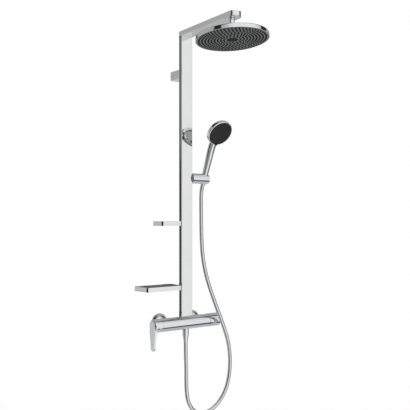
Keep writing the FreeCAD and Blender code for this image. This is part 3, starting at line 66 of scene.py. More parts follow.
class Value:
    """A number socket of a node tree that adds Math nodes when it is used in an expression."""

    def __init__(self, nodes: "Nodes", socket: bpy.types.NodeSocket) -> None:
        """Keeps the tree that the socket belongs to."""
        self.nodes = nodes
        self.socket = socket

    def _math(self, operation: str, *values: "Value | float") -> "Value":
        """Adds one Math node.

        Args:
            operation: The Math node's operation.
            values: Its inputs in order.

        Returns:
            The node's output.
        """
        node = self.nodes.add("ShaderNodeMath", {"operation": operation}, dict(enumerate(values)))
        return Value(self.nodes, node.outputs[0])

    def __add__(self, other: "Value | float") -> "Value":
        """Sum."""
        return self._math("ADD", self, other)

    __radd__ = __add__

    def __sub__(self, other: "Value | float") -> "Value":
        """Difference."""
        return self._math("SUBTRACT", self, other)

    def __rsub__(self, other: float) -> "Value":
        """Difference from a number."""
        return self._math("SUBTRACT", other, self)

    def __mul__(self, other: "Value | float") -> "Value":
        """Product."""
        return self._math("MULTIPLY", self, other)

    __rmul__ = __mul__

    def __truediv__(self, other: "Value | float") -> "Value":
        """Quotient."""
        return self._math("DIVIDE", self, other)

    def __abs__(self) -> "Value":
        """Size without its sign."""
        return self._math("ABSOLUTE", self)

    def largest(self, other: "Value | float") -> "Value":
        """The larger of two."""
        return self._math("MAXIMUM", self, other)

    def sine(self) -> "Value":
        """Sine of an angle in radians."""
        return self._math("SINE", self)

    def arcsine(self) -> "Value":
        """Angle in radians whose sine this is."""
        return self._math("ARCSINE", self)

    def angle_to(self, other: "Value") -> "Value":
        """Angle in radians of the point (other, self)."""
        return self._math("ARCTAN2", self, other)

    def rounded(self) -> "Value":
        """Nearest whole number."""
        return self._math("ROUND", self)

    def ease(self, low: float, high: float, start: float = 0.0, end: float = 1.0) -> "Value":
        """Runs smoothly from start to end as this value goes from low to high."""
        if low > high:
            low, high, start, end = high, low, end, start
        node = self.nodes.add("ShaderNodeMapRange", {"interpolation_type": "SMOOTHSTEP"}, {
            "Value": self, "From Min": low, "From Max": high, "To Min": start, "To Max": end})
        return Value(self.nodes, node.outputs["Result"])

    def band(self, low: float, high: float, soft: float) -> "Value":
        """One between two limits and zero outside them, with soft edges."""
        return self.ease(low - soft, low + soft) * self.ease(high - soft, high + soft, 1.0, 0.0)


class Nodes:
    """A node tree, and the one way in which this script adds nodes to it.

    The three numbers are the places of a Mix node's two colour inputs and of its colour output.
    """

    FIRST_COLOUR, SECOND_COLOUR, MIXED_COLOUR = 6, 7, 2

    def __init__(self, tree: bpy.types.NodeTree) -> None:
        """Wraps a tree."""
        self.tree = tree

    def add(self, kind: str, settings: dict | None = None, inputs: dict | None = None) -> bpy.types.Node:
        """Adds a node.

        Args:
            kind: The node's type name.
            settings: Its properties.
            inputs: Values or links of its sockets, by name or number.

        Returns:
            The node.
        """
        node = self.tree.nodes.new(kind)
        for name, value in (settings or {}).items():
            setattr(node, name, value)
        for name, value in (inputs or {}).items():
            self.feed(node.inputs[name], value)
        return node

    def feed(self, socket: bpy.types.NodeSocket, value: object) -> None:
        """Links a socket, or sets its value."""
        if isinstance(value, Value):
            value = value.socket
        if isinstance(value, bpy.types.NodeSocket):
            self.tree.links.new(value, socket)
        else:
            socket.default_value = value

    def value(self, node: bpy.types.Node, output: str | int = 0) -> Value:
        """A node's output as a value for expressions."""
        return Value(self, node.outputs[output])

    def mix(self, factor: Value, first: bpy.types.NodeSocket | Colour,
            second: Colour) -> bpy.types.NodeSocket:
        """Runs from the first colour to the second as the factor goes from zero to one."""
        if isinstance(first, tuple):
            first = (*first, 1)
        node = self.add("ShaderNodeMix", {"data_type": "RGBA"}, {
            "Factor": factor, self.FIRST_COLOUR: first, self.SECOND_COLOUR: (*second, 1)})
        return node.outputs[self.MIXED_COLOUR]

    def noise(self, where: bpy.types.NodeSocket, scale: float, detail: float) -> Value:
        """Noise at a place, from zero to one."""
        return self.value(self.add("ShaderNodeTexNoise", {}, {
            "Vector": where, "Scale": scale, "Detail": detail}))


@dataclass(frozen=True)
class Finish:
    """A surface finish: its colour and gloss, and the fine unevenness that breaks them up.

    Attributes:
        name: The material's name, which is the record's slot.
        colour: Base colour.
        metallic: One for metal and plating, zero for the rest.
        roughness: Lowest roughness.
        smudge: How much roughness the cloudy patches add.
        cloud_scale: Patches per metre.
        grain: Strength of the fine bump.
        grain_scale: Grains per metre.
        shade: How much darker the cloudy patches are.
        specular: Strength of the gloss of what isn't metal.
        cloud_limits: Noise values between which a patch goes from none to full.
        cloud_detail: Finer layers in the noise of the patches.
        grain_detail: Finer layers in the noise of the grain.
        grain_depth: Depth of the fine bump in metres.
    """

    name: str
    colour: Colour
    metallic: float = 0.0
    roughness: float = 0.3
    smudge: float = 0.03
    cloud_scale: float = 14.0
    grain: float = 0.02
    grain_scale: float = 900.0
    shade: float = 0.03
    specular: float = 0.5
    cloud_limits: Span = (0.35, 0.75)
    cloud_detail: float = 3.0
    grain_detail: float = 2.0
    grain_depth: float = 0.0005

    def build(self) -> bpy.types.Material:
        """Makes the material.

        Returns:
            The material, with its colour, roughness and bump from noise in object coordinates.
        """
        packed = bpy.data.materials.get(self.name)
        if packed:
            packed.name = self.name + "_packed"
        material = bpy.data.materials.new(self.name)
        material.use_nodes = True
        nodes = Nodes(material.node_tree)
        shader = material.node_tree.nodes["Principled BSDF"]
        where = nodes.add("ShaderNodeTexCoord").outputs["Object"]
        patches = nodes.noise(where, self.cloud_scale, self.cloud_detail).ease(*self.cloud_limits)
        colour = self.coloured(nodes, where, patches)
        nodes.feed(shader.inputs["Base Color"], colour)
        nodes.feed(shader.inputs["Roughness"], patches * self.smudge + self.roughness)
        shader.inputs["Metallic"].default_value = self.metallic
        shader.inputs["Specular IOR Level"].default_value = self.specular
        height = self.relief(nodes, where)
        bump = nodes.add("ShaderNodeBump", {}, {
            "Strength": self.grain, "Distance": self.grain_depth, "Height": height})
        nodes.feed(shader.inputs["Normal"], bump.outputs["Normal"])
        return material

    def coloured(self, nodes: Nodes, where: bpy.types.NodeSocket, patches: Value) -> bpy.types.NodeSocket:
        """The base colour, a little darker in the cloudy patches."""
        return nodes.mix(patches, self.colour, tuple(channel * (1 - self.shade) for channel in self.colour))

    def relief(self, nodes: Nodes, where: bpy.types.NodeSocket) -> Value:
        """Height of the fine grain."""
        return nodes.noise(where, self.grain_scale, self.grain_detail)


@dataclass(frozen=True)
class TurnedFinish(Finish):
    """Metal from a lathe, with fine rings round the Z axis.

    Attributes:
        ring_pitch: Distance from ring to ring.
    """

    ring_pitch: float = 0.0004

    def relief(self, nodes: Nodes, where: bpy.types.NodeSocket) -> Value:
        """Height of the tool marks."""
        height = nodes.value(nodes.add("ShaderNodeSeparateXYZ", {}, {"Vector": where}), "Z")
        return (height * (FULL_TURN / self.ring_pitch)).sine()


@dataclass(frozen=True)
class SheathFinish(Finish):
    """Sheath of the hose: bright strands wound closely round it under a clear skin.

    Attributes:
        strand_pitch: Distance from strand to strand along the hose.
        strands: How many are wound side by side.
        groove_shade: Brightness of the painted shade in the lines between them, as a share of their own.
        line_width: Height of the wave below which a line starts.
    """

    strand_pitch: float = 0.0022
    strands: int = 2
    groove_shade: float = 0.72
    line_width: float = 0.45

    def wound(self, nodes: Nodes) -> Value:
        """Wave across the strands, from the tube's own map: metres along it and turns round it."""
        place = nodes.add("ShaderNodeUVMap", {"uv_map": Tube.MAP_NAME}).outputs["UV"]
        parts = nodes.add("ShaderNodeSeparateXYZ", {}, {"Vector": place})
        turns = nodes.value(parts, "X") / self.strand_pitch + nodes.value(parts, "Y") * self.strands
        return (turns * FULL_TURN).sine() * 0.5 + 0.5

    def coloured(self, nodes: Nodes, where: bpy.types.NodeSocket, patches: Value) -> bpy.types.NodeSocket:
        """Bright strands with painted shade in the lines between them."""
        # Painted shade: the lines between the strands, where the bump sinks, are coloured darker.
        line = tuple(channel * self.groove_shade for channel in self.colour)
        return nodes.mix(self.wound(nodes).ease(0.0, self.line_width), line, self.colour)

    def relief(self, nodes: Nodes, where: bpy.types.NodeSocket) -> Value:
        """Height of the strands."""
        return self.wound(nodes)


@dataclass(frozen=True)
class RailFinish(Finish):
    """Polished aluminium, with painted shade: darker inside the rail's two slots and a little darker on the arm's
    underside.

    Attributes:
        depth: Depth of the rail's axis.
        mouth: Half the width of a slot and its cavity.
        side: Half the rail's width, up to where the slots start.
        top: Height at which the slots end.
        slot_shade_colour: Darker colour painted in the slots as their shade.
        under: Heights between which the arm's underside lies.
        under_shade_colour: Darker colour painted on the arm's underside as its shade.
        soft: Half the width over which one colour gives way to the other.
    """

    depth: float = -0.069
    mouth: float = 0.0078
    side: float = 0.0236
    top: float = 1.0755
    slot_shade_colour: Colour = (0.42, 0.42, 0.42)
    under: Span = (1.0755, 1.0785)
    under_shade_colour: Colour = (0.66, 0.67, 0.67)
    soft: float = 0.0001

    def coloured(self, nodes: Nodes, where: bpy.types.NodeSocket, patches: Value) -> bpy.types.NodeSocket:
        """Bright outside, with painted shade in the slots and, a little lighter, on the arm's underside."""
        place = nodes.add("ShaderNodeSeparateXYZ", {}, {"Vector": where})
        across, deep, height = (nodes.value(place, axis) for axis in "XYZ")
        within = self.below(abs(across), self.side)
        # Painted shade: the slots and the arm's underside take darker colours that stand in for their shade.
        inside = self.below(abs(deep - self.depth), self.mouth) * within * self.below(height, self.top)
        shaded_underside = height.band(*self.under, self.soft) * within
        colour = nodes.mix(inside, super().coloured(nodes, where, patches), self.slot_shade_colour)
        return nodes.mix(shaded_underside, colour, self.under_shade_colour)

    def below(self, place: Value, limit: float) -> Value:
        """One where a place is below a limit and zero past it."""
        return place.ease(limit - self.soft, limit + self.soft, 1.0, 0.0)


BRIGHT = (0.83, 0.84, 0.85)
FINISHES = (
    Finish("chrome", BRIGHT, metallic=1.0, roughness=0.03, smudge=0.03, grain=0.006, grain_scale=60.0),
    RailFinish("polished_aluminium", (0.86, 0.87, 0.865), metallic=1.0, roughness=0.035, smudge=0.03,
               grain=0.005, grain_scale=40.0),
    Finish("chromed_plastic", BRIGHT, metallic=1.0, roughness=0.03, smudge=0.025, grain=0.006,
           grain_scale=50.0),
    SheathFinish("chromed_hose", (0.8, 0.81, 0.82), metallic=1.0, roughness=0.09, smudge=0.05, grain=0.35),
    TurnedFinish("brass", (0.72, 0.55, 0.3), metallic=1.0, roughness=0.22, smudge=0.12, grain=0.05,
                 shade=0.12),
    Finish("copper_tube", (0.78, 0.46, 0.33), metallic=1.0, roughness=0.25, smudge=0.15, grain=0.03,
           shade=0.2),
    Finish("cast_metal", (0.52, 0.53, 0.54), metallic=1.0, roughness=0.42, smudge=0.12, grain=0.3,
           grain_scale=1400.0, shade=0.12),
    TurnedFinish("steel", (0.6, 0.6, 0.61), metallic=1.0, roughness=0.24, smudge=0.1, grain=0.05,
                 shade=0.08),
    Finish("white_plastic", (0.8, 0.8, 0.78), roughness=0.38, smudge=0.1, grain=0.08, grain_scale=1800.0),
    Finish("black_plastic", (0.016, 0.016, 0.018), roughness=0.16, smudge=0.08, grain=0.05,
           grain_scale=1500.0, shade=0.2),
    Finish("dark_spray_face", (0.1, 0.105, 0.102), roughness=0.34, smudge=0.1, grain=0.08,
           grain_scale=1500.0, shade=0.12),
    Finish("dark_insert", (0.012, 0.012, 0.013), roughness=0.3, smudge=0.1, grain=0.05, grain_scale=900.0,
           shade=0.2, specular=0.14),
    Finish("rubber", (0.03, 0.03, 0.03), roughness=0.6, smudge=0.15, grain=0.25, grain_scale=2600.0,
           shade=0.15),
    Finish("dark_rubber", (0.006, 0.0065, 0.0065), roughness=0.5, smudge=0.12, grain=0.12,
           grain_scale=2600.0, shade=0.15, specular=0.1),
)


@dataclass(frozen=True)
class Flag:
    """Dark screen of the studio, upright between two azimuths that differ with the height.

    Attributes:
        low: Its azimuths near the floor.
        middle: Its azimuths at the height of the object.
        high: Its azimuths overhead.
        rise: Heights over which the low ones give way to the middle ones.
        top: Heights over which those give way to the high ones.
        foot: Heights over which it starts.
        soft: Half the width of its edges.
    """

    low: Span
    middle: Span
    high: Span
    rise: Span = (4, 16)
    top: Span = (34, 42)
    foot: Span | None = None
    soft: float = 3

    def mask(self, azimuth: Value, height: Value) -> Value:
        """One on the flag and zero beside it."""
        near = height.ease(*self.rise, 1.0, 0.0)
        over = height.ease(*self.top)
        first, last = (near * (low - middle) + over * (high - middle) + middle
                       for low, middle, high in zip(self.low, self.middle, self.high))
        inside = (azimuth - first).ease(-self.soft, self.soft) * (last - azimuth).ease(-self.soft, self.soft)
        return inside * height.ease(*self.foot) if self.foot else inside


@dataclass(frozen=True)
class Panels:
    """The studio as a mirror shows it: bright panels, dark flags and the gaps between them.

    A direction is an azimuth from +Y towards +X and a height, both in degrees.

    Attributes:
        wall_side: Azimuths to either side over which the wall behind the object ends.
        wall_heights: Heights over which the wall's brightness changes.
        wall_levels: Its brightness below and above.
        front_side: Azimuths to either side over which the brightness in front changes.
        front_levels: The brightness in front, from the sides to the middle.
        left: The flag on the left.
        right: The flag on the right.
        flag_heights: Heights over which a flag darkens.
        flag_levels: Brightness of a flag below and above.
        gap: Azimuths of the gap in the wall.
        gap_top: Heights over which the gap ends.
        gap_dark: How dark it is.
        slit: Azimuths of the dark slit, low on the right.
        slit_heights: Its heights.
        slit_dark: How dark it is.
        soft: Half the width of the edges of the gap and the slit.
        slit_soft: Half the width of the slit's side edges.
    """

    wall_side: Span = (80, 116)
    wall_heights: Span = (-14, 20)
    wall_levels: Span = (0.6, 0.42)
    front_side: Span = (112, 150)
    front_levels: Span = (0.5, 0.9)
    left: Flag = Flag(low=(-147, -63), middle=(-108, -84), high=(-117, -54))
    right: Flag = Flag(low=(52, 114), middle=(89, 119), high=(97, 114), top=(40, 46), foot=(-38, -30))
    flag_heights: Span = (-14, -6)
    flag_levels: Span = (0.26, 0.02)
    gap: Span = (-6, 8)
    gap_top: Span = (30, 44)
    gap_dark: float = 0.88
    slit: Span = (114, 142)
    slit_heights: Span = (-47, -29)
    slit_dark: float = 0.86
    soft: float = 2.5
    slit_soft: float = 3

    def brightness(self, nodes: Nodes) -> Value:
        """Brightness in each direction."""
        degrees = 180 / math.pi
        way = nodes.add("ShaderNodeSeparateXYZ", {}, {
            "Vector": nodes.add("ShaderNodeTexCoord").outputs["Generated"]})
        azimuth = nodes.value(way, "X").angle_to(nodes.value(way, "Y")) * degrees
        height = nodes.value(way, "Z").arcsine() * degrees
        side = abs(azimuth)
        behind = side.ease(*self.wall_side, 1.0, 0.0)
        level = (behind * height.ease(*self.wall_heights, *self.wall_levels)
                 + (1 - behind) * side.ease(*self.front_side, *self.front_levels))
        shade = self.left.mask(azimuth, height).largest(self.right.mask(azimuth, height))
        level = level * (1 - shade) + shade * height.ease(*self.flag_heights, *self.flag_levels)
        gap = azimuth.band(*self.gap, self.soft) * height.ease(*self.gap_top, 1.0, 0.0)
        slit = azimuth.band(*self.slit, self.slit_soft) * height.band(*self.slit_heights, self.soft)
        return level * (1 - gap * self.gap_dark) * (1 - slit * self.slit_dark)


@dataclass
class Studio:
    """Camera, surroundings, lamp and floor.

    Attributes:
        camera_at: Where the camera stands.
        camera_turn: Turn of its level gaze from +Y towards +X, in degrees.
        lens: Focal length in millimetres.
        sensor: Width of the sensor in millimetres.
        rise: Shift of the picture, as a share of its width.
        floor_height: Height of the floor below the mixer.
        level: Brightness of the plain surroundings.
        floor_white: Share of pure white in the floor as the camera sees it; the rest takes the shadow.
        shadow_reach: Distance from the object within which the floor keeps its shadow.
        horizon: Distance past which the floor is as white as what lies behind it.
        floor_half: Half the floor's side.
        floor_colour: Its colour.
        lamp_at: Where the soft lamp hangs.
        lamp_aim: The point that it faces.
        lamp_size: Its side.
        lamp_power: Its power in watts.
    """

    camera_at: Point = (-1.3613, -2.0405, 0.3959)
    camera_turn: float = 36.37
    lens: float = 55.8
    sensor: float = 36.0
    rise: float = 0.0305
    floor_height: float = -1.05
    level: float = 0.93
    floor_white: float = 0.75
    shadow_reach: float = 1.6
    horizon: float = 4.5
    floor_half: float = 30.0
    floor_colour: Colour = (0.97, 0.97, 0.97)
    lamp_at: Point = (-0.6, -3.2, 3.0)
    lamp_aim: Point = (0.0, 0.0, 0.6)
    lamp_size: float = 2.4
    lamp_power: float = 24.0

    def build(self) -> None:
        """Makes all of it."""
        bpy.context.scene.view_settings.view_transform = "Standard"
        self.camera()
        self.surroundings()
        self.floor()
        self.lamp()

    def camera(self) -> None:
        """Level camera with a small upward shift."""
        data = bpy.data.cameras.new("camera")
        data.lens = self.lens
        data.sensor_width = self.sensor
        data.shift_y = self.rise
        camera = bpy.data.objects.new("camera", data)
        camera.location = self.camera_at
        camera.rotation_euler = (math.pi / 2, 0, -math.radians(self.camera_turn))
        bpy.context.scene.collection.objects.link(camera)
        bpy.context.scene.camera = camera

    def surroundings(self) -> None:
        """Pale world, white to the camera, with the studio's panels for mirror finishes alone."""
        world = bpy.data.worlds.new("studio")
        bpy.context.scene.world = world
        world.use_nodes = True
        world.node_tree.nodes.clear()
        nodes = Nodes(world.node_tree)
        rays = nodes.add("ShaderNodeLightPath")
        mirrored = nodes.value(rays, "Is Glossy Ray")
        seen = nodes.value(rays, "Is Camera Ray").largest(nodes.value(rays, "Is Transmission Ray"))
        plain = (1 - mirrored) * self.level + mirrored * Panels().brightness(nodes)
        strength = plain * (1 - seen) + seen
        light = nodes.add("ShaderNodeBackground", {}, {"Color": (1, 1, 1, 1), "Strength": strength})
        nodes.add("ShaderNodeOutputWorld", {}, {"Surface": light.outputs["Background"]})

    def floor(self) -> None:
        """Wide white floor, which mirrors don't show."""
        mesh = bpy.data.meshes.new("floor")
        corners = [(x * self.floor_half, y * self.floor_half, self.floor_height)
                   for x, y in ((-1, -1), (1, -1), (1, 1), (-1, 1))]
        mesh.from_pydata(corners, [], [(0, 1, 2, 3)])
        floor = bpy.data.objects.new("floor", mesh)
        bpy.context.scene.collection.objects.link(floor)
        material = bpy.data.materials.new("floor")
        material.use_nodes = True
        material.node_tree.nodes.clear()
        nodes = Nodes(material.node_tree)
        paint = nodes.add("ShaderNodeBsdfDiffuse", {}, {"Color": (*self.floor_colour, 1)})
        white = nodes.add("ShaderNodeEmission", {}, {"Color": (1, 1, 1, 1), "Strength": 1.0})
        seen = nodes.value(nodes.add("ShaderNodeLightPath"), "Is Camera Ray")
        away = nodes.value(nodes.add("ShaderNodeVectorMath", {"operation": "LENGTH"}, {
            0: nodes.add("ShaderNodeTexCoord").outputs["Object"]}), "Value")
        mixed = nodes.add("ShaderNodeMixShader", {}, {
            0: seen * away.ease(self.shadow_reach, self.horizon, self.floor_white, 1.0),
            1: paint.outputs["BSDF"], 2: white.outputs["Emission"]})
        nodes.add("ShaderNodeOutputMaterial", {}, {"Surface": mixed.outputs["Shader"]})
        mesh.materials.append(material)
        floor.visible_glossy = False

    def lamp(self) -> None:
        """Large soft lamp high in front of the object."""
        data = bpy.data.lights.new("softbox", "AREA")
        data.energy = self.lamp_power
        data.size = self.lamp_size
        lamp = bpy.data.objects.new("softbox", data)
        lamp.location = self.lamp_at
        facing = Vector(self.lamp_at) - Vector(self.lamp_aim)
        lamp.rotation_euler = facing.to_track_quat("Z", "Y").to_euler()
        lamp.visible_glossy = False
        bpy.context.scene.collection.objects.link(lamp)


def joint_frame(name: str) -> Matrix:
    """Frame of a joint.

    Args:
        name: The joint's name in the model.

    Returns:
        A matrix with its origin on the joint, Z along its axis and X as near as it can to the row's X.
    """
    joint = next(row for row in frame["joints"] if row["name"] == name)
    up = Vector(joint["axis"]).normalized()
    nearly_along = 0.9
    across = up.cross(Vector((1, 0, 0)) if abs(up.x) < nearly_along else Vector((0, 1, 0))).normalized()
    right = across.cross(up)
    turn = Matrix((right, across, up)).transposed().to_4x4()
    return Matrix.Translation(Vector(joint["pos_m"])) @ turn


def new_piece(name: str, mesh: bpy.types.Mesh, slot: str, smooth_angle: float = 35.0) -> bpy.types.Object:
    """Links a finished mesh as a piece.

    Args:
        name: The piece's name.
        mesh: Its mesh, in the row frame.
        slot: The record's material slot, which is the material's name too.
        smooth_angle: Edges sharper than this, in degrees, stay sharp.

    Returns:
        The object.
    """
    mesh.materials.clear()
    mesh.materials.append(bpy.data.materials[slot])
    mesh.shade_smooth()
    mesh.set_sharp_from_angle(angle=math.radians(smooth_angle))
    piece = bpy.data.objects.new(name, mesh)
    bpy.context.scene.collection.objects.link(piece)
    return piece


@dataclass
class Tube:
    """Round tube along a line, with a map of metres along it and turns round it.

    Attributes:
        name: The mesh's name.
        line: Points on the tube's axis.
        radius: Its outer radius.
        sides: Steps round it.
        start_length: What the map gives at its first point.
    """

    MAP_NAME = "along"

    name: str
    line: list[Vector]
    radius: float
    sides: int = 24
    start_length: float = 0.0

    def mesh(self) -> bpy.types.Mesh:
        """Rings that turn with the line, joined by quads, closed at both ends.

        Returns:
            The mesh.
        """
        points = self.line
        last = len(points) - 1
        across = (points[1] - points[0]).orthogonal().normalized()
        verts, lengths = [], [self.start_length]
        for index, point in enumerate(points):
            ahead = (points[min(index + 1, last)] - points[max(index - 1, 0)]).normalized()
            across = (across - ahead * across.dot(ahead)).normalized()
            beside = ahead.cross(across)
            if index:
                lengths.append(lengths[-1] + (point - points[index - 1]).length)
            for side in range(self.sides):
                angle = FULL_TURN * side / self.sides
                verts.append(point + (across * math.cos(angle) + beside * math.sin(angle)) * self.radius)
        faces, places = [], []
        for ring in range(last):
            for side in range(self.sides):
                after = (side + 1) % self.sides
                low, high = ring * self.sides, (ring + 1) * self.sides
                faces.append((low + side, low + after, high + after, high + side))
                near, far = side / self.sides, (side + 1) / self.sides
                places += [(lengths[ring], near), (lengths[ring], far),
                           (lengths[ring + 1], far), (lengths[ring + 1], near)]
        faces.append(tuple(reversed(range(self.sides))))
        faces.append(tuple(range(last * self.sides, (last + 1) * self.sides)))
        places += [(lengths[0], 0.0)] * self.sides + [(lengths[-1], 0.0)] * self.sides
        mesh = bpy.data.meshes.new(self.name)
        mesh.from_pydata(verts, [], faces)
        layer = mesh.uv_layers.new(name=self.MAP_NAME)
        for loop, place in zip(layer.data, places):
            loop.uv = place
        return mesh


def turned_mesh(name: str, profile: list[tuple[float, float]], at: Matrix, sides: int = 96,
                hollow: bool = False) -> bpy.types.Mesh:
    """Turns a profile about Z.

    Args:
        name: The mesh's name.
        profile: (radius, height) points, with the solid on the left of the way they run.
        at: Where the turned shape's own frame lies.
        sides: Steps round it.
        hollow: Whether the profile closes on itself round a bore, away from the axis.

    Returns:
        The mesh, with a point where the profile touches the axis.
    """
    verts, rings = [], []
    for radius, height in profile:
        if radius < TOUCHING:
            rings.append([len(verts)] * sides)
            verts.append(at @ Vector((0, 0, height)))
            continue
        rings.append(list(range(len(verts), len(verts) + sides)))
        for side in range(sides):
            angle = FULL_TURN * side / sides
            verts.append(at @ Vector((radius * math.cos(angle), radius * math.sin(angle), height)))
    if hollow:
        rings.append(rings[0])
    faces = []
    for low, high in zip(rings, rings[1:]):
        for side in range(sides):
            after = (side + 1) % sides
            corners = (low[side], low[after], high[after], high[side])
            face = tuple(dict.fromkeys(corners))
            if len(face) > 2:
                faces.append(face)
    mesh = bpy.data.meshes.new(name)
    mesh.from_pydata(verts, [], faces)
    return mesh


class HoseSpan(Enum):
    """Stretches of the hose, from the mixer upwards, with the bodies that each bends between."""

    LOOP = ("hose_loop", "root", "slider")
    UPPER = ("hose_upper", "slider", "holder")
    NECK = ("hose_neck", "holder", "handset")


@dataclass
class Hose:
    """The hose on one smooth curve from the mixer's outlet to the handset.

    Attributes:
        route: Control points of the curve from the handset down and round to the mixer.
        diameter: Outer diameter.
        step: Distance between the tube's rings.
        curve_steps: Straight pieces of the curve for each control point.
        give_start: Height from which the loop gives way to the slider. It lies below the mixer's nut.
        upper_start: Height at which the stretch below the holder starts.
        neck_start: Height at which the stretch into the handset's nut starts.
        line: Evenly spaced points on the curve, from the mixer to the handset.
    """

    route: tuple[Point, ...] = (
        (0.086, -0.0605, 0.5242), (0.086, -0.0490, 0.4965), (0.084, -0.052, 0.440),
        (0.0735, -0.068, 0.336), (0.066, -0.086, 0.244), (0.077, -0.100, 0.160),
        (0.107, -0.108, 0.074), (0.143, -0.115, -0.015), (0.169, -0.118, -0.090),
        (0.181, -0.112, -0.168), (0.179, -0.103, -0.238), (0.164, -0.094, -0.291),
        (0.129, -0.087, -0.335), (0.076, -0.086, -0.353), (0.024, -0.090, -0.337),
        (-0.006, -0.091, -0.293), (-0.008, -0.084, -0.238), (-0.001, -0.074, -0.172),
        (0.000, -0.069, -0.112), (0.000, -0.069, -0.073),
    )
    diameter: float = 0.0146
    step: float = 0.003
    curve_steps: int = 40
    give_start: float = -0.109
    upper_start: float = 0.341
    neck_start: float = 0.432
    line: list[Vector] = field(default_factory=list)

    def smooth_line(self) -> list[Vector]:
        """Points on the route's curve, evenly spaced, from the mixer to the handset."""
        data = bpy.data.curves.new("hose_route", "CURVE")
        data.dimensions = "3D"
        data.resolution_u = self.curve_steps
        spline = data.splines.new("NURBS")
        spline.points.add(len(self.route) - 1)
        for control, point in zip(spline.points, reversed(self.route)):
            control.co = (*point, 1)
        spline.order_u = 3
        spline.use_endpoint_u = True
        holder = bpy.data.objects.new("hose_route", data)
        mesh = bpy.data.meshes.new_from_object(holder)
        dense = [vertex.co.copy() for vertex in mesh.vertices]
        bpy.data.objects.remove(holder)
        bpy.data.curves.remove(data)
        bpy.data.meshes.remove(mesh)
        return self.evenly(dense)

    def evenly(self, dense: list[Vector]) -> list[Vector]:
        """The same line with its points one step apart."""
        lengths = [0.0]
        for before, after in zip(dense, dense[1:]):
            lengths.append(lengths[-1] + (after - before).length)
        count = round(lengths[-1] / self.step)
        points, index = [], 0
        for number in range(count + 1):
            wanted = lengths[-1] * number / count
            while index < len(dense) - 2 and lengths[index + 1] < wanted:
                index += 1
            share = (wanted - lengths[index]) / (lengths[index + 1] - lengths[index])
            points.append(dense[index].lerp(dense[index + 1], min(max(share, 0.0), 1.0)))
        return points

    def build(self) -> None:
        """Makes the three stretches."""
        self.line = self.smooth_line()
        last = len(self.line) - 1
        upper = next(index for index in range(last) if self.line[index].z > self.upper_start)
        neck = next(index for index in range(last) if self.line[index].z > self.neck_start)
        marks = (0, upper, neck, last)
        heights = (self.give_start, *(self.line[index].z for index in marks[1:]))
        for span, first, final, ends in zip(HoseSpan, marks, marks[1:], zip(heights, heights[1:])):
            self.stretch(span, first, final)

    def stretch(self, span: HoseSpan, first: int, final: int) -> None:
        """Makes one stretch of the tube.

        Args:
            span: Which stretch it is.
            first: Index of its first point on the line.
            final: Index of its last point.
        """
        name, *bodies = span.value
        line = self.line[first:final + 1]
        tube = Tube(name, line, self.diameter / 2, start_length=first * self.step)
        piece = new_piece(name, tube.mesh(), "chromed_hose")
        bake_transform(piece)
        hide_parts("shower_hose")
        length = sum((after - before).length for before, after in zip(line, line[1:]))
        log.info("%s: %.3f m", name, length)


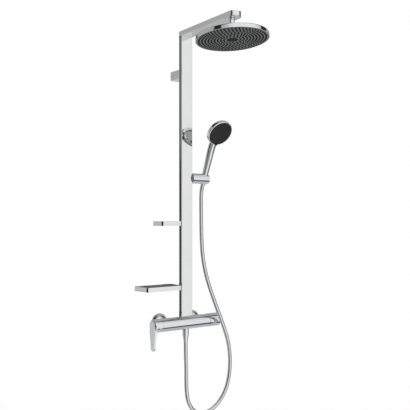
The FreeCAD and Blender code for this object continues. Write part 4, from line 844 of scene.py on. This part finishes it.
@dataclass
class NozzleRings:
    """Rings of soft nozzles on a spray face, made by a tree of Geometry Nodes.

    Attributes:
        name: The piece's name.
        first_ring: Radius of the innermost ring.
        ring_step: Distance from ring to ring.
        rings: How many rings there are.
        spacing: Distance from nozzle to nozzle round a ring.
        base_radius: Radius of a nozzle at the face.
        tip_radius: Radius of its tip.
        stand: How far it stands out.
        root: How deep it starts behind the face.
        sides: Sides of one nozzle.
        ring_turn: Turn of each ring against the one inside it, in radians.
    """

    SMOOTH_ANGLE = 50.0

    name: str
    first_ring: float
    ring_step: float
    rings: int
    spacing: float
    base_radius: float
    tip_radius: float
    stand: float
    root: float
    sides: int = 12
    ring_turn: float = 2.4

    def tree(self, material: bpy.types.Material) -> bpy.types.NodeTree:
        """Builds the tree.

        Args:
            material: What the nozzles are made of.

        Returns:
            The tree, with its sizes as named inputs.
        """
        tree = bpy.data.node_groups.new(self.name, "GeometryNodeTree")
        sizes = {"First Ring": self.first_ring, "Ring Step": self.ring_step, "Spacing": self.spacing,
                 "Base Radius": self.base_radius, "Tip Radius": self.tip_radius,
                 "Height": self.stand + self.root, "Root": self.root}
        for label, number in sizes.items():
            item = tree.interface.new_socket(label, in_out="INPUT", socket_type="NodeSocketFloat")
            item.default_value = number
        tree.interface.new_socket("Geometry", in_out="OUTPUT", socket_type="NodeSocketGeometry")
        nodes = Nodes(tree)
        given = nodes.add("NodeGroupInput")
        size = {label: nodes.value(given, label) for label in sizes}
        cone = nodes.add("GeometryNodeMeshCone", {"fill_type": "TRIANGLE_FAN"}, {
            "Vertices": self.sides, "Radius Top": size["Tip Radius"], "Radius Bottom": size["Base Radius"],
            "Depth": size["Height"]})
        joined = nodes.add("GeometryNodeJoinGeometry")
        for ring in range(self.rings):
            radius = size["First Ring"] + size["Ring Step"] * ring
            count = (radius * FULL_TURN / size["Spacing"]).rounded()
            circle = nodes.add("GeometryNodeMeshCircle", {}, {"Vertices": count, "Radius": radius})
            turned = nodes.add("GeometryNodeTransform", {}, {
                "Geometry": circle.outputs["Mesh"], "Rotation": (0, 0, ring * self.ring_turn)})
            placed = nodes.add("GeometryNodeInstanceOnPoints", {}, {
                "Points": turned.outputs["Geometry"], "Instance": cone.outputs["Mesh"]})
            tree.links.new(placed.outputs["Instances"], joined.inputs["Geometry"])
        down = nodes.add("ShaderNodeCombineXYZ", {}, {"Z": size["Root"] * -1})
        moved = nodes.add("GeometryNodeTransform", {}, {
            "Geometry": joined.outputs["Geometry"], "Translation": down.outputs["Vector"]})
        real = nodes.add("GeometryNodeRealizeInstances", {}, {"Geometry": moved.outputs["Geometry"]})
        dressed = nodes.add("GeometryNodeSetMaterial", {}, {
            "Geometry": real.outputs["Geometry"], "Material": material})
        nodes.add("NodeGroupOutput", {}, {"Geometry": dressed.outputs["Geometry"]})
        return tree

    def mesh(self, material: bpy.types.Material, at: Matrix) -> bpy.types.Mesh:
        """Runs the tree and takes its result as a plain mesh.

        Args:
            material: What the nozzles are made of.
            at: Frame of the face, with Z out of it.

        Returns:
            The mesh in the row frame.
        """
        seed = bpy.data.meshes.new(self.name + "_seed")
        holder = bpy.data.objects.new(self.name + "_seed", seed)
        bpy.context.scene.collection.objects.link(holder)
        modifier = holder.modifiers.new("rings", "NODES")
        modifier.node_group = self.tree(material)
        evaluated = holder.evaluated_get(bpy.context.evaluated_depsgraph_get())
        mesh = bpy.data.meshes.new_from_object(evaluated)
        holder.modifiers.remove(modifier)
        bpy.data.objects.remove(holder)
        mesh.name = self.name
        mesh.transform(at)
        return mesh


def local_reach(node: str, at: Matrix) -> tuple[float, float, float]:
    """Size of a node in a joint's own frame.

    Args:
        node: The node.
        at: The frame, with Z along the axis.

    Returns:
        Its largest radius about Z and its lowest and highest Z.
    """
    back = at.inverted()
    places = [back @ vertex.co for vertex in frame["nodes"][node].data.vertices]
    return (max(math.hypot(place.x, place.y) for place in places),
            min(place.z for place in places), max(place.z for place in places))


def arc(centre: tuple[float, float], radius: float, start: float, end: float,
        steps: int = 8) -> list[tuple[float, float]]:
    """Points of a round stretch of a profile, both ends included.

    Args:
        centre: Its centre as (radius, height).
        radius: Its radius.
        start: Angle of its first point in degrees.
        end: Angle of its last.
        steps: Straight pieces in it.

    Returns:
        The points.
    """
    angles = [math.radians(start + (end - start) * step / steps) for step in range(steps + 1)]
    return [(centre[0] + radius * math.cos(angle), centre[1] + radius * math.sin(angle)) for angle in angles]


def along(origin: Point, axis: Point) -> Matrix:
    """Frame with its origin at a point and Z along an axis."""
    return Matrix.Translation(Vector(origin)) @ Vector(axis).to_track_quat("Z", "Y").to_matrix().to_4x4()


def joined(name: str, meshes: list[bpy.types.Mesh]) -> bpy.types.Mesh:
    """One mesh from several.

    Args:
        name: Its name.
        meshes: The meshes, which are removed.

    Returns:
        The joined mesh, with its faces turned outwards.
    """
    whole = bmesh.new()
    for mesh in meshes:
        whole.from_mesh(mesh)
        bpy.data.meshes.remove(mesh)
    bmesh.ops.recalc_face_normals(whole, faces=whole.faces)
    result = bpy.data.meshes.new(name)
    whole.to_mesh(result)
    whole.free()
    return result


@dataclass
class MixerBar:
    """Body of the mixer: a bored bar, two bosses to the wall and one for the hose.

    Attributes:
        axis: Depth of the bar's axis.
        radius: Its radius.
        left: Its left end.
        right: Its right end.
        edge: Bevel at its ends.
        inlet: Distance of each wall boss from the middle.
        inlet_radius: Radius of a wall boss.
        inlet_length: Its reach from the bar's axis.
        outlet_radius: Radius of the boss for the hose.
        outlet_length: Its reach from the bar's axis.
        root_share: Where a boss starts in the bar's wall, as a share of the bar's radius.
        waterway: Radius of the water's way through the bar.
        cartridge_bore: Radius of the bore for the mixing cartridge.
        cartridge_depth: Its depth.
        nut_bore: Radius of the recess for the cartridge's nut.
        nut_depth: Its depth.
        diverter_bore: Radius of the bore for the diverter.
        diverter_depth: Its depth.
        sides: Steps round the bar.
        boss_sides: Steps round a boss.
    """

    axis: float = -0.069
    radius: float = 0.0245
    left: float = -0.113
    right: float = 0.1
    edge: float = 0.0005
    inlet: float = 0.075
    inlet_radius: float = 0.015
    inlet_length: float = 0.027
    outlet_radius: float = 0.0125
    outlet_length: float = 0.0252
    root_share: float = 0.8
    waterway: float = 0.008
    cartridge_bore: float = 0.018
    cartridge_depth: float = 0.033
    nut_bore: float = 0.0205
    nut_depth: float = 0.009
    diverter_bore: float = 0.016
    diverter_depth: float = 0.04
    sides: int = 160
    boss_sides: int = 64

    def build(self) -> None:
        """Makes the body in the place of the plain one."""
        middle = along((0, self.axis, 0), (1, 0, 0))
        meshes = [turned_mesh("bar", self.section(), middle, self.sides, hollow=True)]
        for side in (-self.inlet, self.inlet):
            back = along((side, self.axis, 0), (0, 1, 0))
            meshes.append(self.boss(back, self.inlet_radius, self.inlet_length, self.waterway))
        down = along((0, self.axis, 0), (0, 0, -1))
        meshes.append(self.boss(down, self.outlet_radius, self.outlet_length, self.waterway + self.edge))
        body = new_piece("mixer_bar", joined("mixer_bar", meshes), "chrome")
        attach(body, "root")
        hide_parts("mixer_body")
        log.info("mixer bar")

    def section(self) -> list[tuple[float, float]]:
        """Closed section of the bored bar: (radius, place along it)."""
        edge, left, right = self.edge, self.left, self.right
        diverter_end = right - self.diverter_depth
        cartridge_end = left + self.cartridge_depth
        nut_end = left + self.nut_depth
        return [
            (self.radius - edge, left), (self.radius, left + edge),
            (self.radius, right - edge), (self.radius - edge, right),
            (self.diverter_bore, right), (self.diverter_bore, diverter_end),
            (self.waterway, diverter_end), (self.waterway, cartridge_end),
            (self.cartridge_bore, cartridge_end), (self.cartridge_bore, nut_end),
            (self.nut_bore, nut_end), (self.nut_bore, left),
        ]

    def boss(self, at: Matrix, radius: float, length: float, bore: float) -> bpy.types.Mesh:
        """Bored boss that starts inside the bar's wall."""
        start = self.radius * self.root_share
        section = [(bore, start), (radius, start), (radius, length - self.edge),
                   (radius - self.edge, length), (bore, length)]
        return turned_mesh("boss", section, at, self.boss_sides, hollow=True)


@dataclass
class Rosettes:
    """Domed wall rosettes round the two inlets.

    Attributes:
        inlet: Distance of each from the middle.
        radius: Radius at the wall.
        rim: Height of the straight rim.
        opening: Radius of the opening for the union.
        depth: How far it stands off the wall.
        bulge: Radius of the dome's section.
        wall: Wall thickness.
        sides: Steps round it.
        dome_steps: Straight pieces in the dome's section.
    """

    inlet: float = 0.075
    radius: float = 0.0335
    rim: float = 0.004
    opening: float = 0.0135
    depth: float = 0.024
    bulge: float = 0.031
    wall: float = 0.0015
    sides: int = 128
    dome_steps: int = 24

    def build(self) -> None:
        """Makes both in the place of the plain ones."""
        for side, name in ((-self.inlet, "rosette_left"), (self.inlet, "rosette_right")):
            at = along((side, 0, 0), (0, -1, 0))
            mesh = joined(name + "_dome", [turned_mesh(name, self.section(), at, self.sides, hollow=True)])
            piece = new_piece(name + "_dome", mesh, "chrome")
            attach(piece, "root")
            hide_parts(name)
        log.info("rosettes")

    def section(self) -> list[tuple[float, float]]:
        """Closed section: out along the wall, up the rim, over the dome and back inside."""
        across, up = self.radius - self.opening, self.depth - self.rim
        chord = math.hypot(across, up)
        back = math.sqrt(self.bulge ** 2 - chord ** 2 / 4)
        centre = (self.opening + across / 2 - back * up / chord, self.rim + up / 2 - back * across / chord)
        low = math.degrees(math.atan2(self.rim - centre[1], self.radius - centre[0]))
        high = math.degrees(math.atan2(self.depth - centre[1], self.opening - centre[0]))
        outer = arc(centre, self.bulge, low, high, self.dome_steps)
        inner = arc(centre, self.bulge - self.wall, high, low, self.dome_steps)
        return [(self.radius - self.wall, 0), (self.radius, 0), *outer, *inner]


@dataclass
class Handset:
    """Chrome shell of the handset and its black spray disc with rubber jets.

    Attributes:
        seat: Centre of the holder's seat, on the handle's axis.
        lean: Lean of the handle, in degrees.
        sections: (height along the handle, distance forwards, radius) of the handle.
        radius: Radius of the head.
        rim: Depth of the head's straight side.
        depth: Depth of the whole head.
        shoulder: Radius between the side and the domed back.
        edge: Round edge between the side and the face.
        opening: Radius of the recess in the face.
        recess: Its depth.
        disc_radius: Radius of the spray disc.
        disc_back: Its back, from the face's plane.
        disc_front: Its front, from the face's plane.
        disc_edge: Bevel round it.
        disc_flat_share: Where its flat edge starts, as a share of its radius.
        disc_dish: How far its middle lies behind its edge.
        heel: Bevel at the handle's foot.
        sides: Steps round the head.
        disc_sides: Steps round the disc.
        handle_sides: Steps round the handle.
        handle_rows: Rows for each stretch between two sections.
        back_steps: Straight pieces in the section of the domed back.
    """

    seat: Point = (0.086, -0.069, 0.5445)
    lean: float = 22.6
    sections: tuple[Point, ...] = (
        (0.016, 0.0, 0.0113), (0.05, 0.0, 0.0122), (0.085, 0.0, 0.0132), (0.115, 0.0, 0.0138),
        (0.14, 0.0022, 0.014), (0.158, 0.0082, 0.0142), (0.176, 0.0155, 0.0125),
    )
    radius: float = 0.05
    rim: float = 0.015
    depth: float = 0.03
    shoulder: float = 0.006
    edge: float = 0.0032
    opening: float = 0.0467
    recess: float = 0.0058
    disc_radius: float = 0.0398
    disc_back: float = -0.0057
    disc_front: float = -0.0003
    disc_edge: float = 0.0004
    disc_flat_share: float = 0.75
    disc_dish: float = 0.0002
    heel: float = 0.0006
    sides: int = 128
    disc_sides: int = 96
    handle_sides: int = 64
    handle_rows: int = 8
    back_steps: int = 14

    def build(self) -> None:
        """Makes the shell and the spray disc."""
        face = joint_frame("spray_select")
        parts = [turned_mesh("head", self.head_section(), face, self.sides), self.handle()]
        shell = new_piece("handset_shell", joined("handset_shell", parts), "chromed_plastic")
        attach(shell, "handset")
        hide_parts("handset_body")
        mesh = turned_mesh("handset_disc", self.disc_section(), face, self.disc_sides)
        disc = new_piece("handset_disc", mesh, "black_plastic")
        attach(disc, "handset")
        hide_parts("handset_spray_disc")
        rings = NozzleRings(
            "handset_jets", first_ring=0.006, ring_step=0.0055, rings=6, spacing=0.0075, base_radius=0.0011,
            tip_radius=0.0007, stand=0.0006, root=0.0006, sides=10)
        front = face @ Matrix.Translation((0, 0, self.disc_front))
        mesh = rings.mesh(bpy.data.materials["dark_rubber"], front)
        jets = new_piece("handset_jets", mesh, "dark_rubber", NozzleRings.SMOOTH_ANGLE)
        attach(jets, "handset")
        log.info("handset")

    def head_section(self) -> list[tuple[float, float]]:
        """Section of the head, from the middle of its back round to the floor of its recess."""
        sag = self.depth - self.rim
        big = (self.radius ** 2 + sag ** 2) / (2 * sag)
        small = self.shoulder
        height = big - self.depth
        centre = (self.radius - small, height - math.sqrt((big - small) ** 2 - (self.radius - small) ** 2))
        meet = math.degrees(math.atan2(centre[1] - height, centre[0]))
        back = arc((0, height), big, -90, meet, self.back_steps)
        side = arc(centre, small, meet, 0)
        lip = arc((self.radius - self.edge, -self.edge), self.edge, 0, 90)
        return back + side[1:] + lip + [(self.opening, 0), (self.opening, -self.recess), (0, -self.recess)]

    def disc_section(self) -> list[tuple[float, float]]:
        """Section of the spray disc, slightly raised towards its edge."""
        reach, front, edge = self.disc_radius, self.disc_front, self.disc_edge
        return [(0, self.disc_back), (reach, self.disc_back), (reach, front - edge), (reach - edge, front),
                (reach * self.disc_flat_share, front), (0, front - self.disc_dish)]

    def handle(self) -> bpy.types.Mesh:
        """Handle as round rings across its axis, smoothed between the sections."""
        lean = math.radians(self.lean)
        up = Vector((0, -math.sin(lean), math.cos(lean)))
        forward = Vector((0, -math.cos(lean), -math.sin(lean)))
        side = Vector((1, 0, 0))
        rows = smooth_rows([Vector(section) for section in self.sections], self.handle_rows)
        rows = [rows[0] - Vector((0, 0, self.heel)), rows[0] + Vector((self.heel, 0, 0))] + rows[1:]
        sides = self.handle_sides
        verts = []
        for height, ahead, radius in rows:
            centre = Vector(self.seat) + up * height + forward * ahead
            for step in range(sides):
                angle = FULL_TURN * step / sides
                verts.append(centre + (side * math.cos(angle) + forward * math.sin(angle)) * radius)
        faces = [(row * sides + step, row * sides + (step + 1) % sides,
                  (row + 1) * sides + (step + 1) % sides, (row + 1) * sides + step)
                 for row in range(len(rows) - 1) for step in range(sides)]
        faces.append(tuple(range(sides)))
        faces.append(tuple((len(rows) - 1) * sides + step for step in range(sides)))
        mesh = bpy.data.meshes.new("handle")
        mesh.from_pydata(verts, [], faces)
        return mesh


def smooth_rows(rows: list[Vector], steps: int) -> list[Vector]:
    """More rows on a smooth curve through the given ones.

    Args:
        rows: The rows.
        steps: New rows for each stretch.

    Returns:
        The rows with the new ones between them.
    """
    result = []
    for index in range(len(rows) - 1):
        before, start = rows[max(index - 1, 0)], rows[index]
        end, after = rows[index + 1], rows[min(index + 2, len(rows) - 1)]
        for step in range(steps):
            part = step / steps
            leave, arrive = (end - before) / 2, (after - start) / 2
            square, cube = part ** 2, part ** 3
            result.append(start * (2 * cube - 3 * square + 1) + leave * (cube - 2 * square + part)
                          + end * (3 * square - 2 * cube) + arrive * (cube - square))
    return result + [rows[-1]]


@dataclass
class SprayFace:
    """Underside of the overhead spray: ridged dark plate, soft nozzles in rings and a dark middle.

    Attributes:
        ring_step: Distance from ring to ring of nozzles.
        rings: How many rings.
        first_ring: Radius of the innermost.
        spacing: Distance between nozzles round a ring.
        ridge: Height of the ridges between the rings.
        ridge_points: Straight pieces in the section of one ridge.
        rim: Bevel at the plate's rim.
        middle: Radius of the smooth disc in the middle.
        middle_edge: Width of its edge.
        drop: How far it stands out.
        seat: How far it starts behind the plate's face.
        sides: Steps round the plate.
        middle_sides: Steps round the disc in the middle.
    """

    ring_step: float = 0.0108
    rings: int = 9
    first_ring: float = 0.029
    spacing: float = 0.0122
    ridge: float = 0.0009
    ridge_points: int = 6
    rim: float = 0.0005
    middle: float = 0.0242
    middle_edge: float = 0.0008
    drop: float = 0.0011
    seat: float = 0.0005
    sides: int = 160
    middle_sides: int = 72

    def build(self) -> None:
        """Makes the plate, its middle and the nozzles in the place of the plain ones."""
        at = joint_frame("head_turn")
        reach, low, high = local_reach("head_spray_plate", at)
        mesh = turned_mesh("spray_plate", self.profile(reach, low, high), at, self.sides)
        plate = new_piece("spray_plate", mesh, "dark_spray_face")
        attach(plate, "head")
        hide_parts("head_spray_plate")
        mesh = turned_mesh("spray_middle", self.cap_profile(low), at, self.middle_sides)
        cap = new_piece("spray_middle", mesh, "dark_rubber")
        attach(cap, "head")
        rings = NozzleRings("spray_nozzles", self.first_ring, self.ring_step, self.rings, self.spacing,
                            base_radius=0.0043, tip_radius=0.0028, stand=0.002, root=0.001)
        down = at @ Matrix.Translation((0, 0, low)) @ Matrix.Rotation(math.pi, 4, "X")
        mesh = rings.mesh(bpy.data.materials["dark_rubber"], down)
        nozzles = new_piece("spray_nozzles", mesh, "dark_rubber", NozzleRings.SMOOTH_ANGLE)
        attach(nozzles, "head")
        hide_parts("head_nozzles")
        log.info("spray face: %d triangles", sum(len(face.vertices) - 2 for face in mesh.polygons))

    def profile(self, reach: float, low: float, high: float) -> list[tuple[float, float]]:
        """Section of the plate, from the middle of its face out over the ridges and up the rim.

        Args:
            reach: The plate's radius.
            low: Its underside.
            high: Its top.

        Returns:
            Points (radius, height), which end in the middle of its top.
        """
        points = [(0.0, low)]
        steps = self.rings * self.ridge_points
        start = self.first_ring - self.ring_step / 2
        for step in range(steps + 1):
            radius = start + self.ring_step * step / self.ridge_points
            wave = 0.5 + 0.5 * math.cos(FULL_TURN * step / self.ridge_points)
            points.append((radius, low - self.ridge * wave))
        return points + [(reach - self.rim, low), (reach, low + self.rim), (reach, high), (0.0, high)]

    def cap_profile(self, low: float) -> list[tuple[float, float]]:
        """Section of the smooth disc in the middle, slightly domed."""
        dome = ((0.0, 1.0), (self.middle * 0.6, 0.9),
                (self.middle - self.middle_edge, 0.6), (self.middle, 0.2))
        return [(radius, low - self.drop * share) for radius, share in dome] + [
            (self.middle, low + self.seat), (0.0, low + self.seat)]


@dataclass
class SoftEdges:
    """Nodes of the model with their hard edges broken, in the place of the plain ones.

    Attributes:
        nodes: The nodes.
        width: Width of the broken edge.
        sharpest: Edges that turn more than this, in degrees, are broken.
        flat: Faces that turn less than this, in degrees, become one.
        normal_weight: How much more a large face counts in the normals than a small one.
    """

    nodes: tuple[str, ...]
    width: float = 0.0004
    sharpest: float = 40.0
    flat: float = 0.5
    normal_weight: int = 90

    def build(self) -> None:
        """Makes a piece for each node."""
        carried = frame["record"]["behaviour"]["bodies"]
        bodies = {node: body for body, nodes in carried.items() for node in nodes}
        slots = {row["node"]: row["material_slot"] for row in frame["record"]["subparts"]}
        for node in self.nodes:
            piece = new_piece(node + "_finished", self.softened(node), slots[node])
            self.flatten(piece)
            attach(piece, bodies[node])
            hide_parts(node)
            log.info("%s with broken edges", node)

    def flatten(self, piece: bpy.types.Object) -> None:
        """Gives large faces their own normals, so that a small round edge doesn't bend what they mirror."""
        modifier = piece.modifiers.new("normals", "WEIGHTED_NORMAL")
        modifier.weight = self.normal_weight
        modifier.keep_sharp = True
        evaluated = piece.evaluated_get(bpy.context.evaluated_depsgraph_get())
        mesh = bpy.data.meshes.new_from_object(evaluated)
        piece.modifiers.remove(modifier)
        piece.data = mesh

    def softened(self, node: str) -> bpy.types.Mesh:
        """A merged copy of a node's mesh with chamfered edges."""
        copy = bmesh.new()
        copy.from_mesh(frame["nodes"][node].data)
        bmesh.ops.remove_doubles(copy, verts=copy.verts, dist=TOUCHING)
        bmesh.ops.dissolve_limit(
            copy, angle_limit=math.radians(self.flat), verts=copy.verts, edges=copy.edges)
        limit = math.radians(self.sharpest)
        sharp = [edge for edge in copy.edges if len(edge.link_faces) == 2 and edge.calc_face_angle() > limit]
        bmesh.ops.bevel(copy, geom=sharp, offset=self.width, offset_type="OFFSET", segments=1,
                        affect="EDGES", clamp_overlap=True)
        mesh = bpy.data.meshes.new(node + "_finished")
        copy.to_mesh(mesh)
        copy.free()
        return mesh


SOFTENED = SoftEdges((
    "rail_profile", "arm_shell", "arm_underplate", "bracket_cover", "upper_shelf_tray", "lower_shelf_tray",
    "lever_handle", "cartridge_cover", "diverter_knob", "union_nuts", "hose_nut_mixer", "hose_nut_handset",
    "holder_pivot", "holder_barrel", "head_shell", "ball_nut", "outlet_stud", "spray_selector",
))


def dress_nodes() -> None:
    """Gives every node of the model the finish of its slot."""
    for row in frame["record"]["subparts"]:
        node = frame["nodes"][row["node"]]
        for slot in node.material_slots:
            slot.material = bpy.data.materials[row["material_slot"]]


def main() -> None:
    """Builds the sub-assemblies in order and reports each."""
    for finish in FINISHES:
        finish.build()
    Studio().build()
    log.info("studio")
    Hose().build()
    SprayFace().build()
    MixerBar().build()
    Rosettes().build()
    Handset().build()
    SOFTENED.build()
    dress_nodes()
    log.info("nodes dressed")


if __name__ == "__main__":
    logging.basicConfig(level=logging.INFO)
    main()
